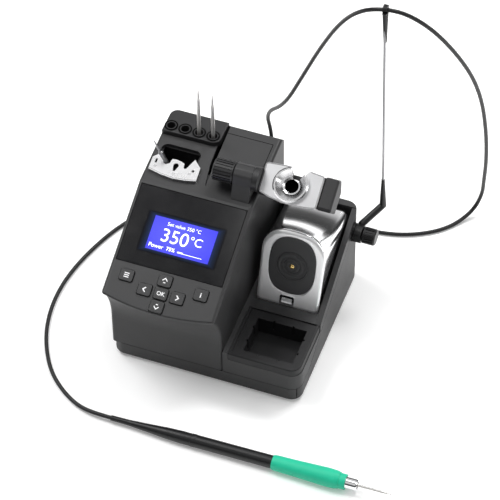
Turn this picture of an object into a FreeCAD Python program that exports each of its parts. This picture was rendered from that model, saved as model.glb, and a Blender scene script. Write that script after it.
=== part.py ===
import FreeCAD, Part
import math
import os

import Sketcher

Vector = FreeCAD.Vector
Rotation = FreeCAD.Rotation
Placement = FreeCAD.Placement

# Soldering iron station: a console with a display and keys, a tool stand with a
# cleaning hood, a cable arm, and a soldering iron on its cord.
#
# Sizes are written in station coordinates: x = 0 on the middle of the base,
# y = 0 on the front of the base and growing to the rear, z = 0 on the underside
# of the base.  Every sub-part is then placed so that the origin of the model is
# the centre of the base footprint, on the table under the rubber feet.

doc = FreeCAD.newDocument("SolderingStation")
sheet = doc.addObject("Spreadsheet::Sheet", "Dims")

SIZES = [
    # overall base
    ("base_width", 150), ("base_depth", 139), ("base_corner", 9), ("tray_height", 12.8),
    ("tray_wall", 2.4), ("tray_floor", 2.4), ("foot_height", 2), ("foot_radius", 7),
    ("foot_inset", 16), ("gap", 0.3), ("seam", 0.4),
    # console
    ("console_right", 14), ("shell", 2.6), ("lip_reach", 15.2), ("lip_bulge", 5.4),
    ("panel_angle", 24.8), ("panel_end", 67.8), ("lip_height", 84.1), ("face_bend", 42.4),
    ("shelf_rise", 6.5), ("shelf_run", 67.2), ("console_corner", 8), ("edge_soft", 2.5),
    # display
    ("window_side", 2.9), ("window_low", 33.9), ("window_tall", 60.9), ("window_thick", 1.6),
    ("screen_wide", 60.3), ("screen_tall", 31), ("screen_thick", 3), ("screen_x", -29.8),
    ("screen_low", 45.6), ("glow_wide", 49.3), ("glow_tall", 26.2), ("glow_low", 47.6),
    ("glow_x", -29.3),
    # keys
    ("key_wide", 10.5), ("key_tall", 9.2), ("key_corner", 1.6), ("key_rise", 1.3),
    ("key_sunk", 2.6), ("key_travel", 0.6), ("key_gap", 0.4), ("key_pitch_x", 12.9),
    ("key_pitch_v", 10.2), ("key_x", -31), ("key_v", 16.8), ("side_key_x", 29.2),
    ("side_key_v", 23.8),
    # cartridge rack
    ("rack_pitch", 11.17), ("rack_x", -68.8), ("rack_y", 119), ("rack_top", 133.4),
    ("rack_front", 113), ("rack_low", 127), ("sleeve_radius", 4.6), ("slot_radius", 3.3),
    ("slot_deep", 46), ("cartridge_radius", 2.75), ("barrel_radius", 1.45),
    # extractor
    ("cup_wide", 31), ("cup_long", 26), ("cup_deep", 20), ("cup_x", -54), ("cup_y", 79),
    ("plate_thick", 1.5),
    # stand
    ("deck_height", 35.5), ("deck_long", 48.7), ("wall_top", 78), ("wall_thick", 4.2),
    ("wall_rise_y", 135), ("spill_x", 28), ("spill_wide", 39), ("spill_y", 8),
    ("spill_long", 33), ("spill_floor", 19), ("spill_seat", 28.6), ("spill_left", 18.4),
    # hood
    ("hood_left", 19.6), ("hood_right", 69.5), ("hood_y", 58.5), ("hood_lean", 17),
    ("hood_top", 98), ("hood_rear", 129.5), ("hood_rear_z", 77), ("hood_skin", 1.4),
    # membrane
    ("membrane_wide", 36.5), ("membrane_tall", 49), ("membrane_thick", 2.2),
    ("membrane_x", 45.2), ("membrane_v", 36.4), ("membrane_hole", 1.3),
    # holder
    ("holder_y", 84), ("holder_z", 140), ("shaft_radius", 4), ("shaft_fit", 0.05),
    ("ear_left", -4), ("ear_wide", 14), ("holder_tilt", 30.7), ("plate_left", 15),
    ("plate_right", 61), ("holder_right", 72), ("cone_x", 38), ("cone_radius", 13.5),
    ("cone_hole", 5.2), ("knob_radius", 8.6), ("knob_long", 16.6),
    # cable arm
    ("arm_y", 126), ("arm_z", 59), ("arm_x", 90), ("elbow_y", 150), ("elbow_z", 70),
    ("rod_top_y", 136.6), ("rod_top_z", 288), ("rod_radius", 0.9), ("stud_radius", 3),
    ("arm_knob_radius", 6.5), ("arm_knob_long", 10.5),
    # cord and iron
    ("cord_radius", 1.55), ("iron_x", -52), ("iron_y", -61.6), ("iron_z", 2.15),
    ("iron_lift", 1), ("relief_long", 67), ("handle_long", 61), ("grip_long", 57),
    ("nose_long", 9), ("iron_tip_long", 26), ("relief_radius", 2.05), ("handle_radius", 5),
    ("grip_radius", 7.15), ("nose_radius", 4.5), ("tip_fit", 0.05),
]


class Size:
    """A number together with the sheet expression that it follows."""

    def __init__(self, value, text):
        self.value = float(value)
        self.text = text

    def __float__(self):
        return self.value

    def join(self, other, sign, swap, function):
        if not isinstance(other, Size):
            other = Size(other, "({})".format(other))
        first, second = (other, self) if swap else (self, other)
        text = "({} {} {})".format(first.text, sign, second.text)
        return Size(function(first.value, second.value), text)

    def __add__(self, other):
        return self.join(other, "+", False, lambda a, b: a + b)

    def __radd__(self, other):
        return self.join(other, "+", True, lambda a, b: a + b)

    def __sub__(self, other):
        return self.join(other, "-", False, lambda a, b: a - b)

    def __rsub__(self, other):
        return self.join(other, "-", True, lambda a, b: a - b)

    def __mul__(self, other):
        return self.join(other, "*", False, lambda a, b: a * b)

    def __rmul__(self, other):
        return self.join(other, "*", True, lambda a, b: a * b)

    def __truediv__(self, other):
        return self.join(other, "/", False, lambda a, b: a / b)

    def __neg__(self):
        return Size(-self.value, "(-{})".format(self.text))


def sine(angle):
    return Size(math.sin(math.radians(float(angle))), "sin({} * 1 deg)".format(angle.text))


def cosine(angle):
    return Size(math.cos(math.radians(float(angle))), "cos({} * 1 deg)".format(angle.text))


def as_size(value):
    return value if isinstance(value, Size) else Size(value, "({})".format(value))


class Sizes:
    """The driving dimensions, written to the sheet and read back by name."""

    def __init__(self):
        for row, (alias, value) in enumerate(SIZES, start=1):
            sheet.set("A{}".format(row), alias)
            sheet.set("B{}".format(row), str(value))
            sheet.setAlias("B{}".format(row), alias)
        doc.recompute()
        for alias, _ in SIZES:
            setattr(self, alias, Size(sheet.get(alias), "Dims." + alias))


d = Sizes()
half_width = d.base_width / 2
half_depth = d.base_depth / 2
cos_panel, sin_panel = cosine(d.panel_angle), sine(d.panel_angle)

nodes = []


def place(thing, x=0, y=0, z=0, axis=None, angle=0):
    """Put a piece at a station point, turned by an angle about one axis."""
    point = (as_size(x), as_size(y) - half_depth, as_size(z) + d.foot_height)
    turn = as_size(angle)
    rotation = Rotation(Vector(*axis), float(turn)) if axis else Rotation()
    thing.Placement = Placement(Vector(*[float(value) for value in point]), rotation)
    for name, value in zip("xyz", point):
        thing.setExpression("Placement.Base." + name, value.text)
    if axis:
        thing.setExpression("Placement.Rotation.Angle", turn.text + " * 1 deg")


def name_node(thing, label):
    thing.Label = label
    nodes.append(thing)
    return thing


def add_loop(sketch, corners):
    """Draw a closed polygon with every corner held from the sketch origin."""
    first = sketch.GeometryCount
    count = len(corners)
    spots = [Vector(float(a), float(b), 0) for a, b in corners]
    for index in range(count):
        sketch.addGeometry(Part.LineSegment(spots[index], spots[(index + 1) % count]), False)
    for index in range(count):
        line = first + index
        follower = first + (index + 1) % count
        sketch.addConstraint(Sketcher.Constraint("Coincident", line, 2, follower, 1))
    for index, corner in enumerate(corners):
        for kind, value, own_axis in (("DistanceX", corner[0], -2), ("DistanceY", corner[1], -1)):
            value = as_size(value)
            if value.value == 0:
                sketch.addConstraint(Sketcher.Constraint("PointOnObject", first + index, 1, own_axis))
                continue
            number = sketch.addConstraint(
                Sketcher.Constraint(kind, -1, 1, first + index, 1, float(value)))
            sketch.setExpression("Constraints[{}]".format(number), value.text)


def add_circle(sketch, a, b, radius):
    """Draw a circle with its centre and radius held."""
    a, b, radius = as_size(a), as_size(b), as_size(radius)
    line = sketch.addGeometry(
        Part.Circle(Vector(float(a), float(b), 0), Vector(0, 0, 1), float(radius)), False)
    for kind, value, own_axis in (("DistanceX", a, -2), ("DistanceY", b, -1)):
        if value.value == 0:
            sketch.addConstraint(Sketcher.Constraint("PointOnObject", line, 3, own_axis))
            continue
        number = sketch.addConstraint(Sketcher.Constraint(kind, -1, 1, line, 3, float(value)))
        sketch.setExpression("Constraints[{}]".format(number), value.text)
    number = sketch.addConstraint(Sketcher.Constraint("Radius", line, float(radius)))
    sketch.setExpression("Constraints[{}]".format(number), radius.text)


def new_sketch(body, plane, start, loops=(), circles=()):
    """Attach a sketch to one origin plane of its body, at a height above it."""
    sketch = body.newObject("Sketcher::SketchObject", "Sketch")
    support = [part for part in body.Origin.OriginFeatures if part.Role == plane][0]
    sketch.AttachmentSupport = [(support, "")]
    sketch.MapMode = "FlatFace"
    start = as_size(start)
    if plane == "XZ_Plane":
        start = -start
    sketch.AttachmentOffset = Placement(Vector(0, 0, float(start)), Rotation())
    sketch.setExpression("AttachmentOffset.Base.z", start.text)
    for corners in loops:
        add_loop(sketch, corners)
    for circle in circles:
        add_circle(sketch, *circle)
    return sketch


def new_body(label, kept=True):
    """A body; one that is not kept only serves as a cutting tool."""
    body = doc.addObject("PartDesign::Body", label.title().replace("_", ""))
    return name_node(body, label) if kept else body


def pad(body, plane, start, length, loops=(), circles=()):
    """Pad a sketch towards the positive side of its plane."""
    sketch = new_sketch(body, plane, start, loops, circles)
    feature = body.newObject("PartDesign::Pad", "Pad")
    feature.Profile = sketch
    length = as_size(length)
    feature.Length = float(length)
    feature.setExpression("Length", length.text)
    feature.Reversed = plane == "XZ_Plane"
    sketch.Visibility = False
    return feature


def pocket(body, plane, start, length, loops=(), circles=()):
    """Pocket a sketch towards the positive side of its plane and test that it cuts."""
    doc.recompute()
    before = body.Shape.Volume
    sketch = new_sketch(body, plane, start, loops, circles)
    feature = body.newObject("PartDesign::Pocket", "Pocket")
    feature.Profile = sketch
    length = as_size(length)
    feature.Length = float(length)
    feature.setExpression("Length", length.text)
    feature.Reversed = plane != "XZ_Plane"
    doc.recompute()
    if body.Shape.Volume > before - 1e-6:
        raise RuntimeError("pocket cuts nothing in " + body.Label)
    return feature


def soften(body, radius, wanted, kind="Fillet"):
    """Round or chamfer the edges of the last feature that a test picks."""
    doc.recompute()
    base = body.Tip
    names = ["Edge{}".format(number) for number, edge in enumerate(base.Shape.Edges, start=1)
             if wanted(edge)]
    if not names:
        raise RuntimeError("no edge to soften in " + body.Label)
    feature = body.newObject("PartDesign::" + kind, kind)
    feature.Base = (base, names)
    field = "Radius" if kind == "Fillet" else "Size"
    radius = as_size(radius)
    setattr(feature, field, float(radius))
    feature.setExpression(field, radius.text)
    doc.recompute()
    return feature


def runs_along(edge, axis):
    """True for a straight edge along the x, y or z axis."""
    if edge.Curve.TypeId != "Part::GeomLine":
        return False
    direction = edge.tangentAt(edge.FirstParameter)
    return abs(abs(direction[axis]) - 1) < 1e-6


def middle(edge):
    return edge.CenterOfMass


def rectangle(low_a, low_b, wide, tall):
    low_a, low_b, wide, tall = [as_size(value) for value in (low_a, low_b, wide, tall)]
    return [(low_a, low_b), (low_a + wide, low_b), (low_a + wide, low_b + tall),
            (low_a, low_b + tall)]


def turned(label, profile, x, y, z, axis=None, angle=0):
    """A piece turned about its own z axis from a profile of (radius, height) corners."""
    body = new_body(label)
    sketch = new_sketch(body, "XZ_Plane", 0, [profile])
    feature = body.newObject("PartDesign::Revolution", "Revolution")
    feature.Profile = sketch
    feature.ReferenceAxis = (sketch, ["V_Axis"])
    feature.Angle = 360
    sketch.Visibility = False
    place(body, x, y, z, axis, angle)
    return body


def block(name, x, y, z, wide, deep, tall):
    """A plain box with its lowest corner at a station point."""
    thing = doc.addObject("Part::Box", name)
    for field, value in (("Length", wide), ("Width", deep), ("Height", tall)):
        value = as_size(value)
        setattr(thing, field, float(value))
        thing.setExpression(field, value.text)
    place(thing, x, y, z)
    return thing


def rod(name, x, y, z, radius, length, axis=None, angle=0):
    """A plain cylinder from a station point along its turned z axis."""
    thing = doc.addObject("Part::Cylinder", name)
    for field, value in (("Radius", radius), ("Height", length)):
        value = as_size(value)
        setattr(thing, field, float(value))
        thing.setExpression(field, value.text)
    place(thing, x, y, z, axis, angle)
    return thing


def group(label, things):
    """Several separate solids of the same kind kept as one sub-part."""
    compound = doc.addObject("Part::Compound", label.title().replace("_", ""))
    compound.Links = things
    return name_node(compound, label)


def cut(name, base, tools):
    """Cut a list of tools from a base."""
    fused = doc.addObject("Part::MultiFuse", name + "Tools")
    fused.Shapes = tools
    tool = fused if len(tools) > 1 else tools[0]
    if len(tools) == 1:
        doc.removeObject(fused.Name)
    result = doc.addObject("Part::Cut", name)
    result.Base = base
    result.Tool = tool
    return result


def fuse(name, things):
    result = doc.addObject("Part::MultiFuse", name)
    result.Shapes = things
    return result


def feature(name, shape):
    """A shape made with Part's own functions, in station coordinates."""
    thing = doc.addObject("Part::Feature", name)
    thing.Shape = shape
    place(thing)
    return thing


def on_panel(thing, x, v, lift):
    """Place a piece on the console panel: x across, v up the slope, lift off it."""
    v, lift = as_size(v), as_size(lift)
    y = -(d.lip_reach + d.lip_bulge) + v * cos_panel - lift * sin_panel
    z = d.lip_height + v * sin_panel + lift * cos_panel
    place(thing, x, y, z, (1, 0, 0), d.panel_angle)



# ---------------------------------------------------------------- base

tray = new_body("base_tray")
pad(tray, "XY_Plane", 0, d.tray_height, [rectangle(-half_width, 0, d.base_width, d.base_depth)])
soften(tray, d.base_corner, lambda edge: runs_along(edge, 2))
soften(tray, 1.2, lambda edge: middle(edge).z < 0.01, "Chamfer")
pocket(tray, "XY_Plane", d.tray_floor, d.tray_height, [
    rectangle(d.tray_wall - half_width, d.tray_wall, d.base_width - 2 * d.tray_wall,
              d.base_depth - 2 * d.tray_wall)])
side_slope = 0.495
side_start = 23.7
side_end = d.base_depth - d.base_corner
side_low = d.tray_height - 6
pad(tray, "YZ_Plane", half_width - d.tray_wall, d.tray_wall, [[
    (side_start, side_low), (side_end, side_low),
    (side_end, d.tray_height + (side_end - side_start) * side_slope),
    (side_start, d.tray_height)]])
screw_inset = d.foot_inset + d.foot_radius + 5
screw_spots = [(side * (half_width - screw_inset), y) for side in (-1, 1)
               for y in (as_size(d.foot_inset), d.base_depth - d.foot_inset)]
pad(tray, "XY_Plane", d.tray_floor, d.tray_height - d.tray_floor - 0.4,
    circles=[(x, y, 4.2) for x, y in screw_spots])
board_low = as_size(24)
post_spots = [(x, as_size(y)) for x in (11 - half_width, d.console_right - 10) for y in (11, 59)]
pad(tray, "XY_Plane", d.tray_floor, board_low - d.tray_floor,
    circles=[(x, y, 3) for x, y in post_spots])
pocket(tray, "XY_Plane", -1, 3, circles=[(x, y, 3.2) for x, y in screw_spots])
pocket(tray, "XY_Plane", 0, d.tray_height + 1, circles=[(x, y, 1.6) for x, y in screw_spots])
pocket(tray, "YZ_Plane", half_width - d.tray_wall - 1, 5,
       circles=[(d.arm_y, d.arm_z, d.stud_radius + 0.02)])
vent = pocket(tray, "XY_Plane", -1, d.tray_floor + 2,
              [rectangle(-45, 45 + 8 * row, 34, 3) for row in range(6)])
place(tray)

foot_spots = [(side * (half_width - d.foot_inset), y) for side in (-1, 1)
              for y in (as_size(d.foot_inset), d.base_depth - d.foot_inset)]
group("rubber_feet", [rod("Foot", x, y, -d.foot_height, d.foot_radius, d.foot_height)
                      for x, y in foot_spots])


def screw(x, y, z, radius, length, head_radius, head, axis=None, angle=0):
    """One pan-head screw standing on its head."""
    shank = rod("Shank", 0, 0, 0, radius, length)
    top = rod("Head", 0, 0, 0, head_radius, head)
    both = fuse("Screw", [shank, top])
    for piece in (shank, top):
        for name in "xyz":
            piece.setExpression("Placement.Base." + name, None)
        piece.Placement = Placement()
    place(both, x, y, z, axis, angle)
    return both


group("base_screws", [screw(x, y, 0.3, 1.5, d.tray_height - 1, 2.8, 1.6) for x, y in screw_spots])

# ---------------------------------------------------------------- console

slope = math.tan(math.radians(float(d.panel_angle)))
left = -float(half_width)
right = float(d.console_right)
depth = float(d.base_depth)
shell = float(d.shell)
low = float(d.tray_height) + float(d.seam)
lip_front = -float(d.lip_reach) - float(d.lip_bulge)
panel_top = float(d.lip_height) + (float(d.panel_end) - lip_front) * slope
shelf_end = float(d.panel_end) + float(d.shelf_run)
shelf_top = panel_top + float(d.shelf_rise)


def console_section(x):
    """One upright section of the console; its lip bulges most at mid-width."""
    share = (x - (left + right) / 2) / ((right - left) / 2)
    y = -float(d.lip_reach) - float(d.lip_bulge) * (1 - share ** 2)
    z = float(d.lip_height) + (y - lip_front) * slope
    bend = float(d.face_bend)
    radius = (y * y + (z - bend) ** 2) / (-2 * y)
    turn = math.asin((z - bend) / radius) / 2
    half_way = Vector(x, -radius * (1 - math.cos(turn)), bend + radius * math.sin(turn))
    corners = [Vector(x, 0, low), Vector(x, 0, bend), Vector(x, y, z),
               Vector(x, float(d.panel_end), panel_top), Vector(x, shelf_end, shelf_top),
               Vector(x, depth, shelf_top - 4.5), Vector(x, depth, low)]
    edges = []
    for index, corner in enumerate(corners):
        follower = corners[(index + 1) % len(corners)]
        if index == 1:
            edges.append(Part.Arc(corner, half_way, follower).toShape())
        else:
            edges.append(Part.LineSegment(corner, follower).toShape())
    return Part.Wire(edges)


sections = [console_section(left + (right - left) * step / 4) for step in range(5)]
outer = Part.makeLoft(sections, True, False)


def near(edge, point, reach=3.0):
    return edge.CenterOfMass.distanceToPoint(point) < reach


def loft_edges(shape, wanted):
    return [edge for edge in shape.Edges if wanted(edge)]


def softened(shape, radius, wanted):
    """Round the edges that a test picks."""
    edges = loft_edges(shape, wanted)
    if not edges:
        raise RuntimeError("no edge to round")
    return shape.makeFillet(radius, edges)


def is_rear_left(edge):
    return (edge.BoundBox.ZLength > 60 and edge.BoundBox.YLength < 0.01
            and edge.CenterOfMass.x < left + 1 and edge.CenterOfMass.y > depth - 1)


outer = softened(outer, float(d.console_corner), is_rear_left)


def is_side(edge):
    box = edge.BoundBox
    flat = box.XLength < 0.05 and (abs(box.XMin - left) < 0.05 or abs(box.XMin - right) < 0.05)
    return flat and box.ZMin > low + 1 and box.YMax < shelf_end + 0.1 and box.YMin < shelf_end - 1


outer = softened(outer, float(d.edge_soft), is_side)


def is_lip(edge):
    box = edge.BoundBox
    return box.XLength > 60 and box.YMax < -10


outer = softened(outer, 1.2, is_lip)
shell_solid = feature("ConsoleOuter", outer)

cavity = new_body("console_cavity", kept=False)
inner_rise = panel_top - shell * 1.3 - (float(d.panel_end) - shell) * slope
pad(cavity, "YZ_Plane", d.shell - half_width, d.console_right + half_width - 2 * d.shell, [[
    (d.shell, 2), (d.shell, inner_rise), (d.panel_end, panel_top - shell * 1.3),
    (shelf_end, shelf_top - shell * 1.2), (d.base_depth - d.shell, shelf_top - 10),
    (d.base_depth - d.shell, 2)]])
place(cavity)


def panel_plate(label, x, v, wide, tall, thick, lift, corner, kept=True):
    """A rounded plate lying along the panel, centred on x, from v up the slope."""
    body = new_body(label, kept)
    pad(body, "XY_Plane", 0, thick, [rectangle(-as_size(wide) / 2, 0, wide, tall)])
    soften(body, corner, lambda edge: runs_along(edge, 2))
    on_panel(body, x, v, lift)
    return body


window_wide = d.console_right + half_width - 2 * d.window_side
window_x = (d.console_right - half_width) / 2
window = panel_plate("display_window", window_x, d.window_low, window_wide, d.window_tall,
                     d.window_thick, -d.window_thick, 2)
window_recess = panel_plate("window_recess", window_x, d.window_low - d.gap,
                            window_wide + 2 * d.gap, d.window_tall + 2 * d.gap,
                            d.window_thick + 2, -d.window_thick, 2, kept=False)
screen_lift = -(d.window_thick + d.screen_thick)
screen = panel_plate("screen_module", d.screen_x, d.screen_low, d.screen_wide, d.screen_tall,
                     d.screen_thick, screen_lift, 0.8)
screen_opening = panel_plate("screen_opening", d.screen_x, d.screen_low - d.gap,
                             d.screen_wide + 2 * d.gap, d.screen_tall + 2 * d.gap,
                             d.screen_thick + 8, screen_lift - 6, 0.8, kept=False)

KEYS = [
    ("key_menu", d.key_x - d.side_key_x, d.side_key_v), ("key_info", d.key_x + d.side_key_x,
                                                        d.side_key_v),
    ("key_up", d.key_x, d.key_v + d.key_pitch_v), ("key_down", d.key_x, d.key_v - d.key_pitch_v),
    ("key_left", d.key_x - d.key_pitch_x, d.key_v), ("key_ok", d.key_x, d.key_v),
    ("key_right", d.key_x + d.key_pitch_x, d.key_v),
]
key_wells = []
for label, x, v in KEYS:
    key = panel_plate(label, x, v - d.key_tall / 2, d.key_wide, d.key_tall,
                      d.key_sunk + d.key_rise, -d.key_sunk, d.key_corner)
    top = float(d.key_sunk + d.key_rise)
    soften(key, 0.5, lambda edge: middle(edge).z > top - 0.01)
    key_wells.append(panel_plate(label + "_well", x, v - d.key_tall / 2 - d.key_gap,
                                 d.key_wide + 2 * d.key_gap, d.key_tall + 2 * d.key_gap,
                                 d.key_sunk + d.key_travel + 2, -d.key_sunk - d.key_travel - 0.3,
                                 d.key_corner + d.key_gap, kept=False))

# cartridge rack along the rear of the shelf
slot_x = [d.rack_x + d.rack_pitch * number for number in range(4)]
rack_right = slot_x[3] + 6.6
rack_rear = d.base_depth - 2.6


def rack_plan(label, bottom, top, grow, kept=True):
    body = new_body(label, kept)
    pad(body, "XY_Plane", bottom, top - bottom, [
        rectangle(0.8 - half_width - grow, d.rack_front - grow,
                  rack_right + half_width - 0.8 + 2 * grow, rack_rear - d.rack_front + 2 * grow)])
    soften(body, 6.2 + grow, lambda edge: runs_along(edge, 2) and (
        (middle(edge).x > 0.6 * float(rack_right) - 20 and middle(edge).y < 118)
        or (middle(edge).x < -60 and middle(edge).y > 120)))
    place(body)
    return body


rack = rack_plan("cartridge_rack", d.rack_low, d.rack_top, as_size(0))
soften(rack, 0.8, lambda edge: middle(edge).z > float(d.rack_top) - 0.01)
pocket(rack, "XY_Plane", d.rack_low - 1, 20,
       circles=[(x, d.rack_y, d.sleeve_radius) for x in slot_x])
place(rack)
rack_recess = rack_plan("rack_recess", d.rack_low - 8, d.rack_top + 4, as_size(0.15), kept=False)

sleeves = []
for x in slot_x:
    tube = rod("Sleeve", x, d.rack_y, d.rack_top + 0.5 - d.slot_deep, d.sleeve_radius, d.slot_deep)
    hole = rod("SlotHole", x, d.rack_y, d.rack_top + 2 - d.slot_deep, d.slot_radius, d.slot_deep)
    sleeves.append(cut("SleeveTube", tube, [hole]))
group("rack_sleeves", sleeves)


def cartridge(label, thick_from, thick_long, thin_long, x, y, z, axis=None, angle=0):
    """A heater cartridge: plug end, thick body, thin barrel and a fine tip."""
    body_radius, barrel = d.cartridge_radius, d.barrel_radius
    profile = [(0, thick_from), (body_radius - 0.6, thick_from),
               (body_radius, as_size(thick_from) + 0.6),
               (body_radius, as_size(thick_from) + thick_long),
               (barrel, as_size(thick_from) + thick_long + 1.2),
               (barrel, as_size(thick_from) + thick_long + thin_long),
               (barrel * 0.62, as_size(thick_from) + thick_long + thin_long + 1.2),
               (barrel * 0.62, as_size(thick_from) + thick_long + thin_long + 7),
               (0.25, as_size(thick_from) + thick_long + thin_long + 12),
               (0, as_size(thick_from) + thick_long + thin_long + 12)]
    return turned(label, profile, x, y, z, axis, angle)


slot_floor = d.rack_top + 2 - d.slot_deep
cartridge("cartridge_a", 0, 36, 44, slot_x[2], d.rack_y, slot_floor + 0.1)
cartridge("cartridge_b", 0, 36, 41, slot_x[3], d.rack_y, slot_floor + 0.1)

# cartridge extractor in the shelf
shelf_slope = math.degrees(math.atan2(float(d.shelf_rise), float(d.shelf_run)))
cup = new_body("extractor_cup")
cup_top = panel_top + (float(d.cup_y) - float(d.panel_end)) * float(d.shelf_rise) / float(d.shelf_run)
cup_low = d.cup_x - d.cup_wide / 2
pad(cup, "XY_Plane", cup_top - d.cup_deep, d.cup_deep,
    [rectangle(cup_low, d.cup_y, d.cup_wide, d.cup_long)])
soften(cup, 5, lambda edge: runs_along(edge, 2))
pocket(cup, "XY_Plane", cup_top - d.cup_deep + 1.4, d.cup_deep,
       [rectangle(cup_low + 1.4, d.cup_y + 1.4, d.cup_wide - 2.8, d.cup_long - 2.8)])
place(cup)
cup_opening = new_body("cup_opening", kept=False)
pad(cup_opening, "XY_Plane", cup_top - d.cup_deep, d.cup_deep + 12,
    [rectangle(cup_low - 0.15, d.cup_y - 0.15, d.cup_wide + 0.3, d.cup_long + 0.3)])
soften(cup_opening, 5.15, lambda edge: runs_along(edge, 2))
place(cup_opening)

plate = new_body("extractor_plate")
PLATE_OUTLINE = [(-17.4, 1.1), (-7.2, -1.2), (2.8, -2.3), (11.9, -1.4), (20.6, 0.7), (19.6, 13),
                 (13.3, 19.2), (9.9, 9.6), (8.9, 8.6), (7.6, 9.4), (7, 13.2), (4.4, 14.4),
                 (0, 15.2), (-3.2, 14.6), (-3.9, 10.4), (-6.5, 8.6), (-9.3, 10.2), (-10.6, 12.6),
                 (-14.6, 16), (-18, 12.5)]
pad(plate, "XY_Plane", 0, d.plate_thick, [[(as_size(a), as_size(b)) for a, b in PLATE_OUTLINE]],)
pad(plate, "XY_Plane", -1.1, 1.2, [[(as_size(a), as_size(b)) for a, b in [
    (-17.4, 1.1), (-7.2, -1.2), (2.8, -2.3), (11.9, -1.4), (20.6, 0.7), (20.5, 1.9),
    (11.8, -0.2), (2.8, -1.1), (-7.1, 0), (-17.5, 2.3)]]])
pocket(plate, "XY_Plane", -1, 4, [[(as_size(a), as_size(b)) for a, b in [
    (-14.8, 7.6), (-13.4, 8), (-13.6, 12), (-15, 11.6)]]])
pocket(plate, "XY_Plane", -1, 4, circles=[(15.4, 8.6, 1.1)])
pocket(plate, "XY_Plane", -1, 4, [[(as_size(a), as_size(b)) for a, b in [
    (0.7, 4.6), (2.1, 4.6), (3, 7.4), (3.6, 9.8), (2.9, 11.4), (1.5, 12), (0, 11.4), (-0.6, 9.8),
    (0, 7.4)]]])
plate_seat = panel_top + (76 - float(d.panel_end)) * float(d.shelf_rise) / float(d.shelf_run)
place(plate, d.cup_x, 76, plate_seat + 1.15, (1, 0, 0), as_size(shelf_slope))

groove = new_body("shelf_groove", kept=False)
pad(groove, "XY_Plane", panel_top - 1.2, 12, [[
    (d.console_right - 39.6, 77), (d.console_right - 40.6, 96),
    (d.console_right - 41.2, d.base_depth - 3), (d.console_right - 45.4, d.base_depth - 3),
    (d.console_right - 43.4, 96), (d.console_right - 40.4, 77)]])
place(groove)

# rear opening, closed by the connector panel
rear_left, rear_wide = as_size(12) - half_width, d.console_right + half_width - 22
rear_low, rear_tall = as_size(20), as_size(84)
rear_opening = block("RearOpening", rear_left - d.gap, d.base_depth - 6, rear_low - d.gap,
                     rear_wide + 2 * d.gap, 8, rear_tall + 2 * d.gap)

sleeve_room = [rod("SleeveRoom", x, d.rack_y, d.rack_top - d.slot_deep, d.sleeve_radius + 0.15,
                   d.slot_deep) for x in slot_x]
console = cut("ConsoleHousing", shell_solid, [
    cavity, window_recess, screen_opening, rack_recess, cup_opening, groove, rear_opening,
] + key_wells + sleeve_room)
name_node(console, "console_housing")

# ---------------------------------------------------------------- rear connectors

TO_REAR = ((1, 0, 0), -90)
TO_RIGHT = ((0, 1, 0), 90)
rear_face = d.base_depth - 0.3
panel_thick = 2.2
inlet_x, inlet_z = rear_left + 19, as_size(60)
switch_x, switch_z = inlet_x, inlet_z + 28
jack_x, jack_z = as_size(-16), as_size(68)
fuse_x, fuse_z = jack_x, jack_z + 23
socket_x, socket_z = jack_x, as_size(40)
jack_radius, fuse_radius, socket_radius = 2.05, 5.5, 7.5

rear = new_body("rear_panel")
pad(rear, "XZ_Plane", rear_face - panel_thick, panel_thick,
    [rectangle(rear_left, rear_low, rear_wide, rear_tall)])
soften(rear, 1.5, lambda edge: runs_along(edge, 1))
pocket(rear, "XZ_Plane", rear_face - 4, 6, [
    rectangle(inlet_x - 13.6, inlet_z - 10, 27.2, 20),
    rectangle(switch_x - 9.6, switch_z - 6.6, 19.2, 13.2)])
pocket(rear, "XZ_Plane", rear_face - 4, 6, circles=[
    (jack_x, jack_z, 4.2), (fuse_x, fuse_z, fuse_radius), (socket_x, socket_z, socket_radius)])
pocket(rear, "XZ_Plane", rear_face - 4, 6, [
    rectangle(rear_left + 6 + 6 * number, rear_low + 4, 2.4, 18) for number in range(5)])
place(rear)

inlet = new_body("mains_inlet")
pad(inlet, "XZ_Plane", rear_face - 18, 18, [rectangle(inlet_x - 13.4, inlet_z - 9.8, 26.8, 19.6)])
pad(inlet, "XZ_Plane", rear_face, 2, [rectangle(inlet_x - 15.5, inlet_z - 12, 31, 24)])
pocket(inlet, "XZ_Plane", rear_face - 14, 20, [[
    (inlet_x - 12, inlet_z - 8), (inlet_x + 12, inlet_z - 8), (inlet_x + 12, inlet_z + 4),
    (inlet_x + 8, inlet_z + 8), (inlet_x - 8, inlet_z + 8), (inlet_x - 12, inlet_z + 4)]])
place(inlet)
group("inlet_pins", [block("Pin", inlet_x + a - 1, rear_face - 14, inlet_z + b - 2, 2, 10, 4)
                     for a, b in ((-7, -2), (7, -2), (0, 3))])

switch_frame = new_body("switch_frame")
pad(switch_frame, "XZ_Plane", rear_face - 12, 12,
    [rectangle(switch_x - 9.4, switch_z - 6.4, 18.8, 12.8)])
pad(switch_frame, "XZ_Plane", rear_face, 1.5,
    [rectangle(switch_x - 10.5, switch_z - 7.5, 21, 15)])
pocket(switch_frame, "XZ_Plane", rear_face - 10, 14,
       [rectangle(switch_x - 8.2, switch_z - 5.2, 16.4, 10.4)])
place(switch_frame)
rocker = new_body("switch_rocker")
pad(rocker, "YZ_Plane", switch_x - 7.8, 15.6, [[
    (rear_face - 4.6, switch_z - 2.2), (rear_face + 1.1, switch_z - 4.4),
    (rear_face + 0.8, switch_z), (rear_face + 3, switch_z + 4.4),
    (rear_face - 4.6, switch_z + 2.2)]])
place(rocker)

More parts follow.
